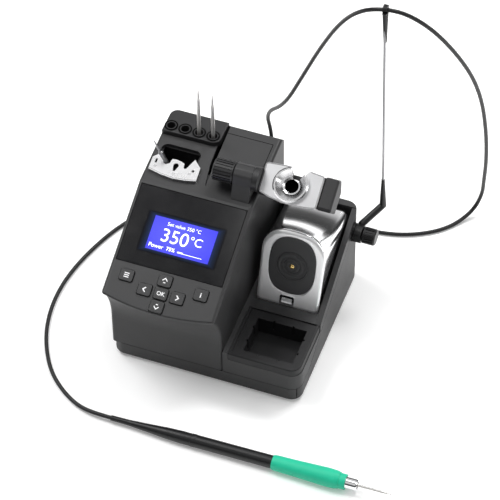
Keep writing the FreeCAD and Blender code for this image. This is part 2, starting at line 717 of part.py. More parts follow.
for label, x, z, hole, shaft_size, flange in (
        ("ground_jack", jack_x, jack_z, jack_radius, 4.1, 5.6),
        ("tool_socket", socket_x, socket_z, 5.6, socket_radius, 9.2)):
    turned(label, [(hole, 0), (shaft_size, 0), (shaft_size, 8), (flange, 8), (flange, 10),
                   (hole, 10)], x, rear_face - 8, z, *TO_REAR)
turned("fuse_cap", [(0, -14), (5.3, -14), (5.3, 14), (7, 14), (7, 17), (6.4, 18.5), (0, 18.5)],
       fuse_x, rear_face - 14, fuse_z, *TO_REAR)
plug_out = 24
turned("tool_plug", [(0, -7.5), (5.4, -7.5), (5.4, 2.1), (8.2, 2.1), (8.2, 17), (6.4, plug_out),
                     (0, plug_out)], socket_x, rear_face, socket_z, *TO_REAR)
plug_relief_long = 16
turned("tool_plug_relief", [(0, plug_out), (4.4, plug_out), (4.1, plug_out + 5),
                            (2.6, plug_out + plug_relief_long), (0, plug_out + plug_relief_long)],
       socket_x, rear_face, socket_z, *TO_REAR)
# ---------------------------------------------------------------- electronics inside

board = new_body("main_board")
pad(board, "XY_Plane", board_low, 1.6, [rectangle(7 - half_width, 7, 76, 56)])
pocket(board, "XY_Plane", board_low - 1, 4, circles=[(x, y, 1.6) for x, y in post_spots])
place(board)
board_top = board_low + 1.6
group("board_parts", [block("Chip", x, y, board_top, wide, deep, tall) for x, y, wide, deep, tall in (
    (-60, 20, 14, 14, 2), (-36, 18, 10, 16, 3), (-16, 16, 16, 12, 12), (-58, 44, 22, 12, 9),
    (-26, 42, 9, 9, 14), (-12, 42, 9, 9, 14))])

coil_x, coil_y, coil_radius, coil_tall = as_size(-39), as_size(93), 26, 32
turned("transformer", [(8, 5), (11, 2), (coil_radius - 3, 2), (coil_radius, 5),
                       (coil_radius, coil_tall - 3), (coil_radius - 3, coil_tall),
                       (11, coil_tall), (8, coil_tall - 3)],
       coil_x, coil_y, d.tray_floor)
turned("transformer_bolt", [(0, 0), (3, 0), (3, coil_tall), (14, coil_tall), (14, coil_tall + 1.5),
                            (5, coil_tall + 1.5), (5, coil_tall + 5), (0, coil_tall + 5)],
       coil_x, coil_y, d.tray_floor)

sink = new_body("heat_sink")
pad(sink, "XY_Plane", d.tray_floor + 1, 42, [rectangle(d.console_right - 6, 74, 3, 46)])
fin = pad(sink, "XY_Plane", d.tray_floor + 1, 42, [rectangle(d.console_right - 20, 74, 14.5, 1.6)])
doc.recompute()
fins = sink.newObject("PartDesign::LinearPattern", "Fins")
fins.Originals = [fin]
fins.Direction = (fin.Profile[0], ["V_Axis"])
fins.Length = 44
fins.Occurrences = 9
sink.Tip = fins
place(sink)

# ---------------------------------------------------------------- tool stand

stand = new_body("stand_housing")
stand_left = d.console_right + 0.2
stand_wide = half_width - stand_left
low_edge = d.tray_height + d.seam
seat = d.spill_seat
spill_rear = d.deck_long
pad(stand, "XY_Plane", low_edge, seat - low_edge, [rectangle(stand_left, 0, stand_wide,
                                                             d.base_depth)])
pad(stand, "XY_Plane", seat, d.deck_height - seat, [
    rectangle(stand_left, spill_rear, stand_wide, d.base_depth - spill_rear)])
pad(stand, "XY_Plane", seat, d.deck_height - seat, [
    rectangle(stand_left, 0, d.spill_left - 0.2 - stand_left, spill_rear + 1)])
pad(stand, "YZ_Plane", half_width - d.wall_thick, d.wall_thick, [[
    (spill_rear, seat), (spill_rear, d.deck_height), (d.wall_rise_y, d.wall_top),
    (d.base_depth, d.wall_top), (d.base_depth, seat)]])
pad(stand, "XY_Plane", d.deck_height - 1, d.wall_top - d.deck_height + 1, [
    rectangle(stand_left, d.wall_rise_y - 1.5, stand_wide, d.base_depth - d.wall_rise_y + 1.5)])
soften(stand, d.base_corner, lambda edge: runs_along(edge, 2)
       and middle(edge).x > float(half_width) - 0.1
       and (middle(edge).y > depth - 0.1 or middle(edge).y < 0.1) and edge.Length > 5)
pocket(stand, "XY_Plane", 5, seat - 7.6, [
    rectangle(stand_left + 2.4, 2.6, half_width - stand_left - 5.2, d.base_depth - 5.2)])
pocket(stand, "XY_Plane", seat - 3, d.deck_height - seat + 0.6, [
    rectangle(stand_left + 2.4, spill_rear + 2.4, half_width - stand_left - 5.2,
              d.base_depth - spill_rear - 5)])
pocket(stand, "XY_Plane", seat - 4, 6, [
    rectangle(d.spill_x - 3.5, d.spill_y - 3.5, d.spill_wide + 7, d.spill_long + 7)])
panel_top_line = [(side_start - 1, 0), (side_end + d.seam, 0),
                  (side_end + d.seam, d.tray_height + (side_end - side_start) * side_slope + 0.7),
                  (side_start - 1, d.tray_height + d.seam - 0.1)]
pocket(stand, "YZ_Plane", half_width - d.tray_wall - 0.2, 5, [panel_top_line])
pocket(stand, "YZ_Plane", half_width - d.wall_thick - 2, 9, circles=[
    (d.arm_y, d.arm_z, d.stud_radius + 0.02)])
place(stand)

spill = new_body("spill_tray")
spill_right = half_width - 0.6
pad(spill, "XY_Plane", seat + 0.15, d.deck_height - seat - 0.15, [
    rectangle(d.spill_left, 0.1, spill_right - d.spill_left, spill_rear - 0.4)])
soften(spill, d.base_corner - 0.6, lambda edge: runs_along(edge, 2)
       and middle(edge).x > float(half_width) - 2 and middle(edge).y < 1)
soften(spill, 1.1, lambda edge: middle(edge).z > float(d.deck_height) - 0.01
       and (middle(edge).y < 6 or middle(edge).x > float(half_width) - 5))
pad(spill, "XY_Plane", d.spill_floor - 1.6, seat - d.spill_floor + 2, [
    rectangle(d.spill_x - 2, d.spill_y - 2, d.spill_wide + 4, d.spill_long + 4)])
pocket(spill, "XY_Plane", d.deck_height - 1.1, 3, [
    rectangle(d.spill_left + 2.2, 2.6, spill_right - d.spill_left - 4.4, spill_rear + 2)])
pocket(spill, "XY_Plane", d.spill_floor, d.deck_height, [
    rectangle(d.spill_x, d.spill_y, d.spill_wide, d.spill_long)])
notch_spots = [(d.spill_x - 1.2, 17), (d.spill_x - 1.2, 31),
               (d.spill_x + d.spill_wide - 0.6, 17), (d.spill_x + d.spill_wide - 0.6, 31)]
pocket(spill, "XY_Plane", d.spill_floor + 6, d.deck_height, [
    rectangle(x, y, 1.8, 1.8) for x, y in notch_spots])
pocket(spill, "XY_Plane", d.spill_floor + 6, d.deck_height, [
    rectangle(d.spill_x + share * d.spill_wide, y, 1.8, 1.8)
    for share in (0.3, 0.7) for y in (d.spill_y - 1.2, d.spill_y + d.spill_long - 0.6)])
place(spill)

# ---------------------------------------------------------------- cleaning hood

lean = math.tan(math.radians(float(d.hood_lean)))
hood_floor = float(d.deck_height) + 0.3


def hood_shape(inset, floor):
    """The hood as a solid, drawn in by an inset; its top sags towards the rear."""
    front = float(d.hood_y) + inset
    crest = float(d.hood_top) + 1 - inset
    crest_y = front + (crest - hood_floor) * lean
    rear_y, rear_z = float(d.hood_rear) - inset, float(d.hood_rear_z) - inset
    start = Vector(0, front + (floor - hood_floor) * lean, floor)
    top = Vector(0, crest_y, crest)
    back = Vector(0, rear_y, rear_z)
    sag = Vector(0, (crest_y + rear_y) / 2, (crest + rear_z) / 2 - 4.5)
    foot = Vector(0, rear_y, floor)
    wire = Part.Wire([Part.LineSegment(start, top).toShape(), Part.Arc(top, sag, back).toShape(),
                      Part.LineSegment(back, foot).toShape(),
                      Part.LineSegment(foot, start).toShape()])
    wide = float(d.hood_right - d.hood_left) - 2 * inset
    side = Part.Face(wire).extrude(Vector(wide, 0, 0))
    side.translate(Vector(float(d.hood_left) + inset, 0, 0))
    low_x, high_x = float(d.hood_left) + inset, float(d.hood_right) - inset
    mid_x, top_z = (low_x + high_x) / 2, float(d.hood_top) - inset
    shoulder = top_z - 5
    round_size = 13 - inset
    a, b = Vector(low_x, 0, floor - 1), Vector(high_x, 0, floor - 1)
    c, e = Vector(high_x, 0, shoulder - round_size), Vector(low_x, 0, shoulder - round_size)
    high_knee = Vector(high_x - round_size * 0.93, 0, shoulder + 1.2)
    low_knee = Vector(low_x + round_size * 0.93, 0, shoulder + 1.2)
    bite = round_size * 0.27
    high_mid = Vector(high_x - bite, 0, shoulder - bite * 0.75)
    low_mid = Vector(low_x + bite, 0, shoulder - bite * 0.75)
    arch = Part.Wire([Part.LineSegment(a, b).toShape(), Part.LineSegment(b, c).toShape(),
                      Part.Arc(c, high_mid, high_knee).toShape(),
                      Part.Arc(high_knee, Vector(mid_x, 0, top_z), low_knee).toShape(),
                      Part.Arc(low_knee, low_mid, e).toShape(),
                      Part.LineSegment(e, a).toShape()])
    tunnel = Part.Face(arch).extrude(Vector(0, float(d.hood_rear) + 20, 0))
    return side.common(tunnel)


def squircle(wide, tall, power=2.7, arcs=12):
    """A closed smooth outline between an ellipse and a rounded rectangle, made of arcs."""
    spots = []
    for number in range(2 * arcs):
        angle = 2 * math.pi * (number + 0.5) / (2 * arcs)
        cos_a, sin_a = math.cos(angle), math.sin(angle)
        spots.append(Vector(math.copysign(abs(cos_a) ** (2 / power), cos_a) * wide / 2,
                            math.copysign(abs(sin_a) ** (2 / power), sin_a) * tall / 2, 0))
    edges = [Part.Arc(spots[number], spots[number + 1],
                      spots[(number + 2) % (2 * arcs)]).toShape()
             for number in range(0, 2 * arcs, 2)]
    return Part.Wire(edges)


hood_mid = float(d.hood_left + d.hood_right) / 2
face_frame = Placement(Vector(hood_mid, float(d.hood_y), hood_floor),
                       Rotation(Vector(1, 0, 0), 90 - float(d.hood_lean)))
face_turn = as_size(90) - d.hood_lean
membrane_v = float(d.membrane_v)
membrane_dx = float(d.membrane_x) - hood_mid


def on_face(shape):
    """Move a shape from the hood's front face frame to the station frame."""
    moved = shape.copy()
    matrix = face_frame.multiply(moved.Placement).toMatrix()
    moved.Placement = FreeCAD.Placement()
    moved.transformShape(matrix, True)
    return moved


outer_hood = hood_shape(0, hood_floor)
front_edges = [edge for edge in outer_hood.Edges
               if abs((edge.CenterOfMass.y - float(d.hood_y))
                      - (edge.CenterOfMass.z - hood_floor) * lean) < 0.6
               and edge.CenterOfMass.z > hood_floor + 3]
outer_hood = outer_hood.makeFillet(1.0, front_edges)
skin = float(d.hood_skin)
inner_hood = hood_shape(skin, hood_floor - 3)
window_hole = Part.Face(squircle(float(d.membrane_wide) + 0.2,
                                 float(d.membrane_tall) + 0.2)).extrude(Vector(0, 0, 12))
window_hole.translate(Vector(membrane_dx, membrane_v, -8))
wiper_wide, wiper_tall = 12.4, 9.6
wiper_hole = Part.makeBox(wiper_wide, wiper_tall + 2, 8, Vector(-wiper_wide / 2 - 0.5, -2, -6))
rear_gate = Part.makeBox(float(d.hood_right - d.hood_left) - 2 * skin, 12,
                         float(d.hood_rear_z) - hood_floor - 2.6,
                         Vector(float(d.hood_left) + skin, float(d.hood_rear) - 6, hood_floor - 1))
hood_skin_solid = outer_hood.cut(inner_hood).cut(rear_gate)
hood_skin_solid = hood_skin_solid.cut(on_face(window_hole)).cut(on_face(wiper_hole))
hood = name_node(feature("CleaningHood", hood_skin_solid), "cleaning_hood")

membrane_disc = Part.Face(squircle(float(d.membrane_wide), float(d.membrane_tall))).extrude(
    Vector(0, 0, float(d.membrane_thick)))
flange = Part.Face(squircle(float(d.membrane_wide) + 3, float(d.membrane_tall) + 3)).extrude(
    Vector(0, 0, 1.2))
flange.translate(Vector(0, 0, -1.2))
membrane_hole = float(d.membrane_hole)
membrane_solid = membrane_disc.fuse(flange)
for ring_radius in (6.3, 12):
    membrane_solid = membrane_solid.cut(
        Part.makeTorus(ring_radius, 0.5, Vector(0, 0, float(d.membrane_thick))))
membrane_solid = membrane_solid.cut(Part.makeCylinder(membrane_hole, 9, Vector(0, 0, -4)))
membrane_solid = membrane_solid.removeSplitter()
membrane_solid.translate(Vector(membrane_dx, membrane_v, -skin))
membrane = name_node(feature("WoolMembrane", on_face(membrane_solid)), "wool_membrane")

wiper = new_body("tip_wiper")
pad(wiper, "XY_Plane", -1.6, 2.4, [rectangle(-6, 1, 11.4, 8.2)])
soften(wiper, 1.8, lambda edge: runs_along(edge, 2) and middle(edge).y > 5)
pocket(wiper, "XY_Plane", -0.2, 3, [rectangle(-4.4, 2.6, 8.2, 4.6)])
place(wiper, hood_mid, d.hood_y, hood_floor, (1, 0, 0), face_turn)

wool_low, wool_wide, wool_deep = d.deck_height + 0.3, as_size(40), as_size(36)
wool_x, wool_y, wool_tall = as_size(24.6), as_size(82), as_size(36)
wool_cup = new_body("wool_cup")
pad(wool_cup, "XY_Plane", wool_low, wool_tall, [rectangle(wool_x, wool_y, wool_wide, wool_deep)])
soften(wool_cup, 4, lambda edge: runs_along(edge, 2))
pocket(wool_cup, "XY_Plane", wool_low + 1.5, wool_tall, [
    rectangle(wool_x + 1.5, wool_y + 1.5, wool_wide - 3, wool_deep - 3)])
pocket(wool_cup, "XY_Plane", wool_low + 10, wool_tall, [
    rectangle(wool_x + 6, wool_y - 1, wool_wide - 12, 6)])
place(wool_cup)
wool = new_body("brass_wool")
pad(wool, "XY_Plane", wool_low + 1.7, wool_tall - 3, [
    rectangle(wool_x + 2.2, wool_y + 2.2, wool_wide - 4.4, wool_deep - 4.4)])
soften(wool, 3, lambda edge: runs_along(edge, 2))
place(wool)

# ---------------------------------------------------------------- tool holder

ear_right = d.ear_left + d.ear_wide
ear_round = 9.4
shelf_grade = float(d.shelf_rise) / float(d.shelf_run)
ear_front, ear_back = d.holder_y - 13, d.holder_y + 13
ear_low = panel_top + 0.05 + (ear_front - d.panel_end) * shelf_grade
ear_high = panel_top + 0.05 + (ear_back - d.panel_end) * shelf_grade
ear = new_body("holder_ear")
pad(ear, "YZ_Plane", d.ear_left, d.ear_wide, [[
    (ear_front, ear_low), (ear_back, ear_high),
    (d.holder_y + ear_round * 0.94, d.holder_z - 2), (d.holder_y + 7.2, d.holder_z + 6),
    (d.holder_y + 2.5, d.holder_z + ear_round - 0.4), (d.holder_y - 2.5, d.holder_z + ear_round - 0.4),
    (d.holder_y - 7.2, d.holder_z + 6), (d.holder_y - ear_round * 0.94, d.holder_z - 2)]])
soften(ear, 3.6, lambda edge: runs_along(edge, 0) and middle(edge).z > float(d.holder_z) + 3)
pocket(ear, "YZ_Plane", d.ear_left - 1, d.ear_wide + 2,
       circles=[(d.holder_y, d.holder_z, d.shaft_radius + d.shaft_fit)])
place(ear)

hub_left = ear_right + 0.3
shaft_start = d.ear_left - 15
rod_shaft = rod("HolderShaft", shaft_start, d.holder_y, d.holder_z, d.shaft_radius,
                d.plate_left - shaft_start - 0.4, *TO_RIGHT)
name_node(rod_shaft, "holder_shaft")

cos_tilt, sin_tilt = cosine(d.holder_tilt), sine(d.holder_tilt)


def on_holder(x, u, w):
    """Station point from plate coordinates: u up the plate, w out of its face."""
    return (x, d.holder_y + 2 + u * cos_tilt - w * sin_tilt,
            d.holder_z + 0.35 + u * sin_tilt + w * cos_tilt)


def holder_profile(points):
    return [on_holder(0, u, w)[1:] for u, w in points]


hub = new_body("holder_body")
pad(hub, "YZ_Plane", hub_left, d.plate_left - hub_left - 0.3,
    circles=[(d.holder_y, d.holder_z, as_size(ear_round))])
pad(hub, "YZ_Plane", d.plate_left - 0.4, d.plate_right - d.plate_left + 1.6, [holder_profile([
    (as_size(-12), as_size(-2.1)), (as_size(-9), as_size(-11)), (as_size(9), as_size(-11)),
    (as_size(12.4), as_size(-2.1))])])
block_left = d.plate_right + 1
pad(hub, "YZ_Plane", block_left, d.holder_right - block_left, [holder_profile([
    (as_size(-12.4), as_size(-2)), (as_size(-9.5), as_size(-19)), (as_size(8), as_size(-19)),
    (as_size(14.6), as_size(-9)), (as_size(12.8), as_size(-1.2)), (as_size(-10), as_size(-0.8))])])
soften(hub, 1.6, lambda edge: abs(middle(edge).x - float(d.holder_right)) < 0.01)
pocket(hub, "YZ_Plane", hub_left - 1, d.plate_left - hub_left + 0.6,
       circles=[(d.holder_y, d.holder_z, d.shaft_radius)])
place(hub)
cone_point = on_holder(d.cone_x, as_size(0), as_size(0))
bore_tool = rod("ConeBore", cone_point[0], cone_point[1], cone_point[2], d.cone_hole + 1.6, 40,
                (1, 0, 0), d.holder_tilt + 180)
holder_cut = cut("HolderBody", hub, [bore_tool])
nodes.remove(hub)
name_node(holder_cut, "holder_body")
hub.Label = "holder_core"

plate_wide = d.plate_right - d.plate_left
chrome = new_body("holder_plate")
PLATE_EDGE = [(-23, -9.6), (-14, -12.6), (-4, -14.2), (6, -14.5), (15, -14), (23, -12.6),
              (23, 12.8), (8, 14), (-8, 14), (-23, 12.8)]
pad(chrome, "XY_Plane", -2, 2, [[(plate_wide * a / 46, as_size(b)) for a, b in PLATE_EDGE]])
soften(chrome, 2.5, lambda edge: runs_along(edge, 2) and abs(middle(edge).x) > 20)
soften(chrome, 0.6, lambda edge: middle(edge).z > -0.01)
pocket(chrome, "XY_Plane", -3, 6, circles=[(d.cone_x - (d.plate_left + d.plate_right) / 2, 0,
                                            as_size(8.95))])
place(chrome, (d.plate_left + d.plate_right) / 2, cone_point[1], cone_point[2], (1, 0, 0),
      d.holder_tilt)
soft_cone = new_body("holder_cone_blank", kept=False)
sketch = new_sketch(soft_cone, "XZ_Plane", 0, [[
    (d.cone_hole, -8), (d.cone_hole + 1.5, -8), (d.cone_hole + 1.5, -2.1), (8.9, -2.1),
    (8.9, 0), (d.cone_radius, 0), (d.cone_radius, 2.4), (d.cone_radius - 1, 3.2), (d.cone_radius - 2.2, 3.2),
    (d.cone_radius - 5.6, -0.6), (d.cone_hole + 1.4, -2.2), (d.cone_hole, -3.2)]])
spin = soft_cone.newObject("PartDesign::Revolution", "Revolution")
spin.Profile = sketch
spin.ReferenceAxis = (sketch, ["V_Axis"])
spin.Angle = 360
place(soft_cone, cone_point[0], cone_point[1], cone_point[2], (1, 0, 0), d.holder_tilt)
mouth = new_body("cone_mouth", kept=False)
pad(mouth, "XY_Plane", -9, 14, [[
    (as_size(0.5), as_size(3)), (as_size(2.2), as_size(1.5)), (as_size(12.5), as_size(16)),
    (as_size(-4.5), as_size(16))]])
place(mouth, cone_point[0], cone_point[1], cone_point[2], (1, 0, 0), d.holder_tilt)
name_node(cut("HolderCone", soft_cone, [mouth]), "holder_cone")
plate_cut = cut("HolderPlate", chrome, [mouth])
nodes.remove(chrome)
chrome.Label = "plate_blank"
name_node(plate_cut, "holder_plate")
mouth_back = cut("HolderBodyOpen", holder_cut, [mouth])
nodes.remove(holder_cut)
holder_cut.Label = "holder_bored"
name_node(mouth_back, "holder_body")


def knurled(label, x, y, z, radius, length, bore, bore_from, bore_long, ribs, sign):
    """A grip knob with ribs round it, its axis along x, bored from one side."""
    body = new_body(label)
    pad(body, "XY_Plane", 0, length, circles=[(0, 0, radius)])
    soften(body, 0.9, lambda edge: edge.Curve.TypeId == "Part::GeomCircle", "Chamfer")
    rib = pocket(body, "XY_Plane", 1.6, length - 3.2, [[
        (radius - 0.7, -0.35), (radius + 1, -0.75), (radius + 1, 0.75), (radius - 0.7, 0.35)]])
    pattern = body.newObject("PartDesign::PolarPattern", "Ribs")
    pattern.Originals = [rib]
    pattern.Axis = (rib.Profile[0], ["N_Axis"])
    pattern.Angle = 360
    pattern.Occurrences = ribs
    body.Tip = pattern
    pocket(body, "XY_Plane", bore_from, bore_long, circles=[(0, 0, bore)])
    place(body, x, y, z, *TO_RIGHT)
    return body


knob_start = d.ear_left - 0.4 - d.knob_long
knurled("holder_knob", knob_start, d.holder_y, d.holder_z, d.knob_radius, d.knob_long,
        d.shaft_radius + d.shaft_fit, shaft_start - knob_start - 0.4, d.knob_long + 2, 22, 1)

# ---------------------------------------------------------------- cord route

CORD_UPPER = [
    (-16, 178.7, 40), (-16, 197, 40), (-21, 209, 52), (-25, 207, 76), (-3, 188, 110),
    (15, 178.5, 158), (33, 166, 207), (53, 149.5, 255), (71, 139, 283), (90, 136.3, 293),
    (107, 141.5, 287.6), (126.5, 153, 263), (144, 176, 211), (150.5, 194, 164),
    (152.5, 207, 115), (151.5, 218, 72), (148.5, 227, 38), (147, 231.5, 18), (142.5, 226, 3.5),
    (133.7, 211.5, -0.4), (123, 199.5, -0.4), (109, 190.5, -0.4), (101.75, 187.55, -0.4),
]
CORD_LOWER = [
    (101.75, 187.55, -0.4), (94.5, 184.6, -0.4), (80, 181.6, -0.4), (58, 179.5, -0.4),
    (28, 177.5, -0.4), (-12, 174, -0.4), (-52, 166.5, -0.4), (-85, 153.5, -0.4),
    (-105, 137, -0.4), (-117, 118, -0.4), (-126, 96, -0.4), (-133, 72, -0.4),
    (-136.5, 49, -0.4), (-136, 26, -0.4), (-131.5, 4, -0.4), (-123, -16.5, -0.4),
    (-111.5, -34.5, -0.4), (-97.5, -47.5, -0.4), (-82, -57, -0.4),
]


def cord_path(points):
    """Straight runs joined by tangent arcs, each as large as its two runs allow."""
    edges, radii, corners = [], [], []
    last = points[0]
    for before, corner, after in zip(points, points[1:], points[2:]):
        run_in, run_out = corner - before, after - corner
        turn = run_in.getAngle(run_out)
        reach = 0.45 * min(run_in.Length, run_out.Length)
        radii.append(reach / math.tan(turn / 2))
        way_in, way_out = Vector(run_in).normalize(), Vector(run_out).normalize()
        start, end = corner - way_in * reach, corner + way_out * reach
        to_middle = (way_out - way_in).normalize()
        radius = radii[-1]
        centre = corner + to_middle * (radius / math.cos(turn / 2))
        half_way = centre - to_middle * radius
        edges.append(Part.LineSegment(last, start).toShape())
        edges.append(Part.Arc(start, half_way, end).toShape())
        last = end
        corners.append(half_way)
    edges.append(Part.LineSegment(last, points[-1]).toShape())
    return Part.Wire(edges), radii, corners


# ---------------------------------------------------------------- cable arm

hub_start = half_width + 1.5
hub_long = 5.6
stud_low = d.wall_thick + 0.4
stud_long = stud_low + 1.5 + hub_long + 0.4 + 7.5
turned("arm_stud", [(0, 0), (d.stud_radius, 0), (d.stud_radius, stud_low), (7.4, stud_low),
                    (7.4, stud_low + 1.2), (d.stud_radius, stud_low + 1.2),
                    (d.stud_radius, stud_long), (0, stud_long)],
       half_width - stud_low, d.arm_y, d.arm_z, *TO_RIGHT)
elbow = Vector(float(d.arm_x), float(d.elbow_y), float(d.elbow_z))
rod_top = Vector(float(d.arm_x), float(d.rod_top_y), float(d.rod_top_z))
rod_way = (rod_top - elbow).normalize()
arm_centre = Vector(float(hub_start), float(d.arm_y), float(d.arm_z))
stud_hole = float(d.stud_radius + d.shaft_fit)
sleeve_top = elbow + rod_way * 31
knee_start = arm_centre + Vector(hub_long / 2, 6, 4.5)
arm_shape = Part.makeCylinder(7.2, hub_long, arm_centre, Vector(1, 0, 0))
limb = Part.makeCone(2.75, 2.7, (elbow - knee_start).Length, knee_start, elbow - knee_start)
arm_shape = arm_shape.fuse([limb, Part.makeSphere(2.7, elbow), Part.makeSphere(2.75, knee_start),
                            Part.makeCone(2.7, 1.3, 31, elbow, rod_way)])
arm_shape = arm_shape.cut([
    Part.makeCylinder(stud_hole, hub_long + 2, arm_centre - Vector(1, 0, 0), Vector(1, 0, 0)),
    Part.makeCylinder(float(d.rod_radius), 40, elbow + rod_way * 12, rod_way)])
name_node(feature("CableArm", arm_shape), "cable_arm")
cord_radius = float(d.cord_radius)
clip_eye = cord_path([Vector(*point) for point in CORD_UPPER])[2][8]
clip_low = clip_eye - rod_way * 34
eye_thick = 3.2
eye_radius = 3.9
eye_slot = cord_radius + 0.5
clip_shape = Part.makeCone(1.3, 2.3, 32, clip_low, rod_way).fuse(
    Part.makeCylinder(eye_radius, eye_thick, clip_eye - Vector(eye_thick / 2, 0, 0),
                      Vector(1, 0, 0)))
slot_cut = Part.makeCylinder(eye_slot, 12, clip_eye - Vector(6, 0, 0), Vector(1, 0, 0)).fuse(
    Part.makeBox(12, 8, 2 * eye_slot, clip_eye - Vector(6, 8, eye_slot)))
rod_long = (clip_eye - elbow).dot(rod_way) - 12 - 8
name_node(feature("ArmRod", Part.makeCylinder(float(d.rod_radius), rod_long, elbow + rod_way * 12,
                                              rod_way)), "arm_rod")
clip_shape = clip_shape.cut([slot_cut, Part.makeCylinder(
    float(d.rod_radius), 40, elbow + rod_way * (12 + rod_long - 40), rod_way)])
name_node(feature("CableClip", clip_shape), "cable_clip")
knurled("arm_knob", hub_start + hub_long + 0.4, d.arm_y, d.arm_z, d.arm_knob_radius,
        d.arm_knob_long, d.stud_radius + d.shaft_fit, -1, as_size(9), 16, 1)

# ---------------------------------------------------------------- soldering iron

iron_turn = as_size(90) - d.iron_lift


def iron_piece(label, profile):
    """A turned piece on the iron's axis; heights run from the cord end to the tip."""
    return turned(label, profile, d.iron_x, d.iron_y, d.iron_z, (0, 1, 0), iron_turn)


handle_from = d.relief_long
grip_from = handle_from + d.handle_long
nose_from = grip_from + d.grip_long
nose_to = nose_from + d.nose_long
thin = d.barrel_radius * 0.62
core = d.cartridge_radius
iron_piece("iron_strain_relief", [
    (0, 0), (d.relief_radius, 0), (d.relief_radius, 3), (2.2, 14), (3.2, 30), (4.35, 45),
    (4.8, 56), (4.8, handle_from - 3), (5, handle_from - 2.6), (5, handle_from), (0, handle_from)])
iron_piece("iron_handle", [
    (0, handle_from), (5, handle_from), (4.85, handle_from + 1), (d.handle_radius, grip_from),
    (d.handle_radius - 0.4, grip_from), (d.handle_radius - 0.4, nose_from - 6),
    (core + d.tip_fit, nose_from - 6), (core + d.tip_fit, grip_from - 8), (0, grip_from - 8)])
iron_piece("iron_grip", [
    (d.handle_radius - 0.4, grip_from + 0.1), (d.handle_radius + 0.5, grip_from + 0.1),
    (d.handle_radius + 0.9, grip_from + 2), (d.grip_radius - 0.9, grip_from + 18),
    (d.grip_radius, grip_from + 42), (d.grip_radius - 0.2, nose_from - 8),
    (d.grip_radius - 0.9, nose_from - 5), (d.grip_radius - 1.3, nose_from - 5),
    (d.grip_radius - 1.3, nose_from), (core + 1, nose_from), (core + 1, nose_from - 5.8),
    (d.handle_radius - 0.4, nose_from - 5.8)])
iron_piece("iron_nose", [
    (core + d.tip_fit, nose_from + 0.1), (d.nose_radius, nose_from + 0.1),
    (d.nose_radius, nose_to - 0.8), (d.nose_radius - 0.5, nose_to), (core + d.tip_fit, nose_to)])
iron_piece("iron_cartridge", [
    (0, grip_from - 7), (core - 0.6, grip_from - 7), (core, grip_from - 6), (core, nose_to - 2),
    (thin + 0.1, nose_to - 0.6), (thin, nose_to + 19), (0.3, nose_to + d.iron_tip_long),
    (0, nose_to + d.iron_tip_long)])

# a spare cartridge leaning in the extractor notch
spare_foot = (as_size(-52.4), as_size(87.35), as_size(108.7))
spare = turned("spare_cartridge", [
    (0, 0), (1.6, 0), (1.9, 0.6), (1.9, 31.5), (0.9, 32.7), (0.9, 37.5), (0.7, 38.2), (0.45, 42),
    (0.2, 44.5), (0, 44.5)], spare_foot[0], spare_foot[1], spare_foot[2], (0, 1, 0), as_size(-24))

# ---------------------------------------------------------------- cord

def cord_tube(label, points):
    """One tube of the cord, its volume tested against section times length."""
    path, radii, _ = cord_path(points)
    way = (points[1] - points[0]).normalize()
    ring = Part.Wire([Part.makeCircle(cord_radius, points[0], way)])
    tube = path.makePipeShell([ring], True, False)
    expected = math.pi * cord_radius ** 2 * path.Length
    if abs(tube.Volume - expected) > 0.01 * expected:
        raise RuntimeError("the tube of {} is not whole".format(label))
    print("{}: length {:.1f}, least radius {:.1f}, radii {}".format(
        label, path.Length, min(radii), [round(radius, 1) for radius in radii]))
    return name_node(feature(label.title().replace("_", ""), tube), label)


iron_end = Vector(float(d.iron_x), float(d.iron_y), float(d.iron_z))
iron_rise = math.radians(float(d.iron_lift))
cord_last = iron_end - Vector(math.cos(iron_rise), 0, math.sin(iron_rise)) * 15
cord_tube("cord_upper", [Vector(*point) for point in CORD_UPPER])
cord_tube("cord_lower", [Vector(*point) for point in CORD_LOWER] + [cord_last, iron_end])

# ---------------------------------------------------------------- names, tests and files

doc.recompute()
for thing in doc.Objects:
    if "Invalid" in thing.State or "Error" in thing.State:
        raise RuntimeError("{} failed: {}".format(thing.Name, thing.State))
for node in nodes:
    if node.Shape.isNull() or not node.Shape.isValid() or not node.Shape.Solids:
        raise RuntimeError("{} has no valid solid".format(node.Label))
if len({node.Label for node in nodes}) != len(nodes):
    raise RuntimeError("two sub-parts share a name")

os.makedirs("parts", exist_ok=True)
for node in nodes:
    node.Shape.exportStep("parts/{}.step".format(node.Label))
print("{} sub-parts written".format(len(nodes)))
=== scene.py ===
"""Looks of a soldering station: finishes, screen picture, key marks, membrane, cord and studio.

Lengths in the classes are in station millimetres: x from the middle, y from the front face and z from
the underside of the base tray. The function `at` turns them into frame metres.
"""
import logging
import math
from dataclasses import dataclass
from enum import Enum
from typing import Callable, Optional, Sequence, Union

import bmesh
import bpy
import numpy as np
from mathutils import Matrix


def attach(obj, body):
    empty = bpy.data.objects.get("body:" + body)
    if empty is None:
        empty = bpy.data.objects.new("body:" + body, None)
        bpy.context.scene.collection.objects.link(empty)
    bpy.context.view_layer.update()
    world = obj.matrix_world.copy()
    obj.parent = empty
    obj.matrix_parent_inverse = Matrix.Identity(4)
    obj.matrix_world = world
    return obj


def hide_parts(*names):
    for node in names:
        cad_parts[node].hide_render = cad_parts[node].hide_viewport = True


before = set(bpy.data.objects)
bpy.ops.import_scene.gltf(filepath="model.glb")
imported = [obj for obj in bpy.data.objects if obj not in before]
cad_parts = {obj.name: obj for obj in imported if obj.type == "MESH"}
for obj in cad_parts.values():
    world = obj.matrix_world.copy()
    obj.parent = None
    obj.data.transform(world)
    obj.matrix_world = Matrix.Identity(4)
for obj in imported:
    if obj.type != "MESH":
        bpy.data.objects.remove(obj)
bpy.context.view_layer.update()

LOG = logging.getLogger("station")

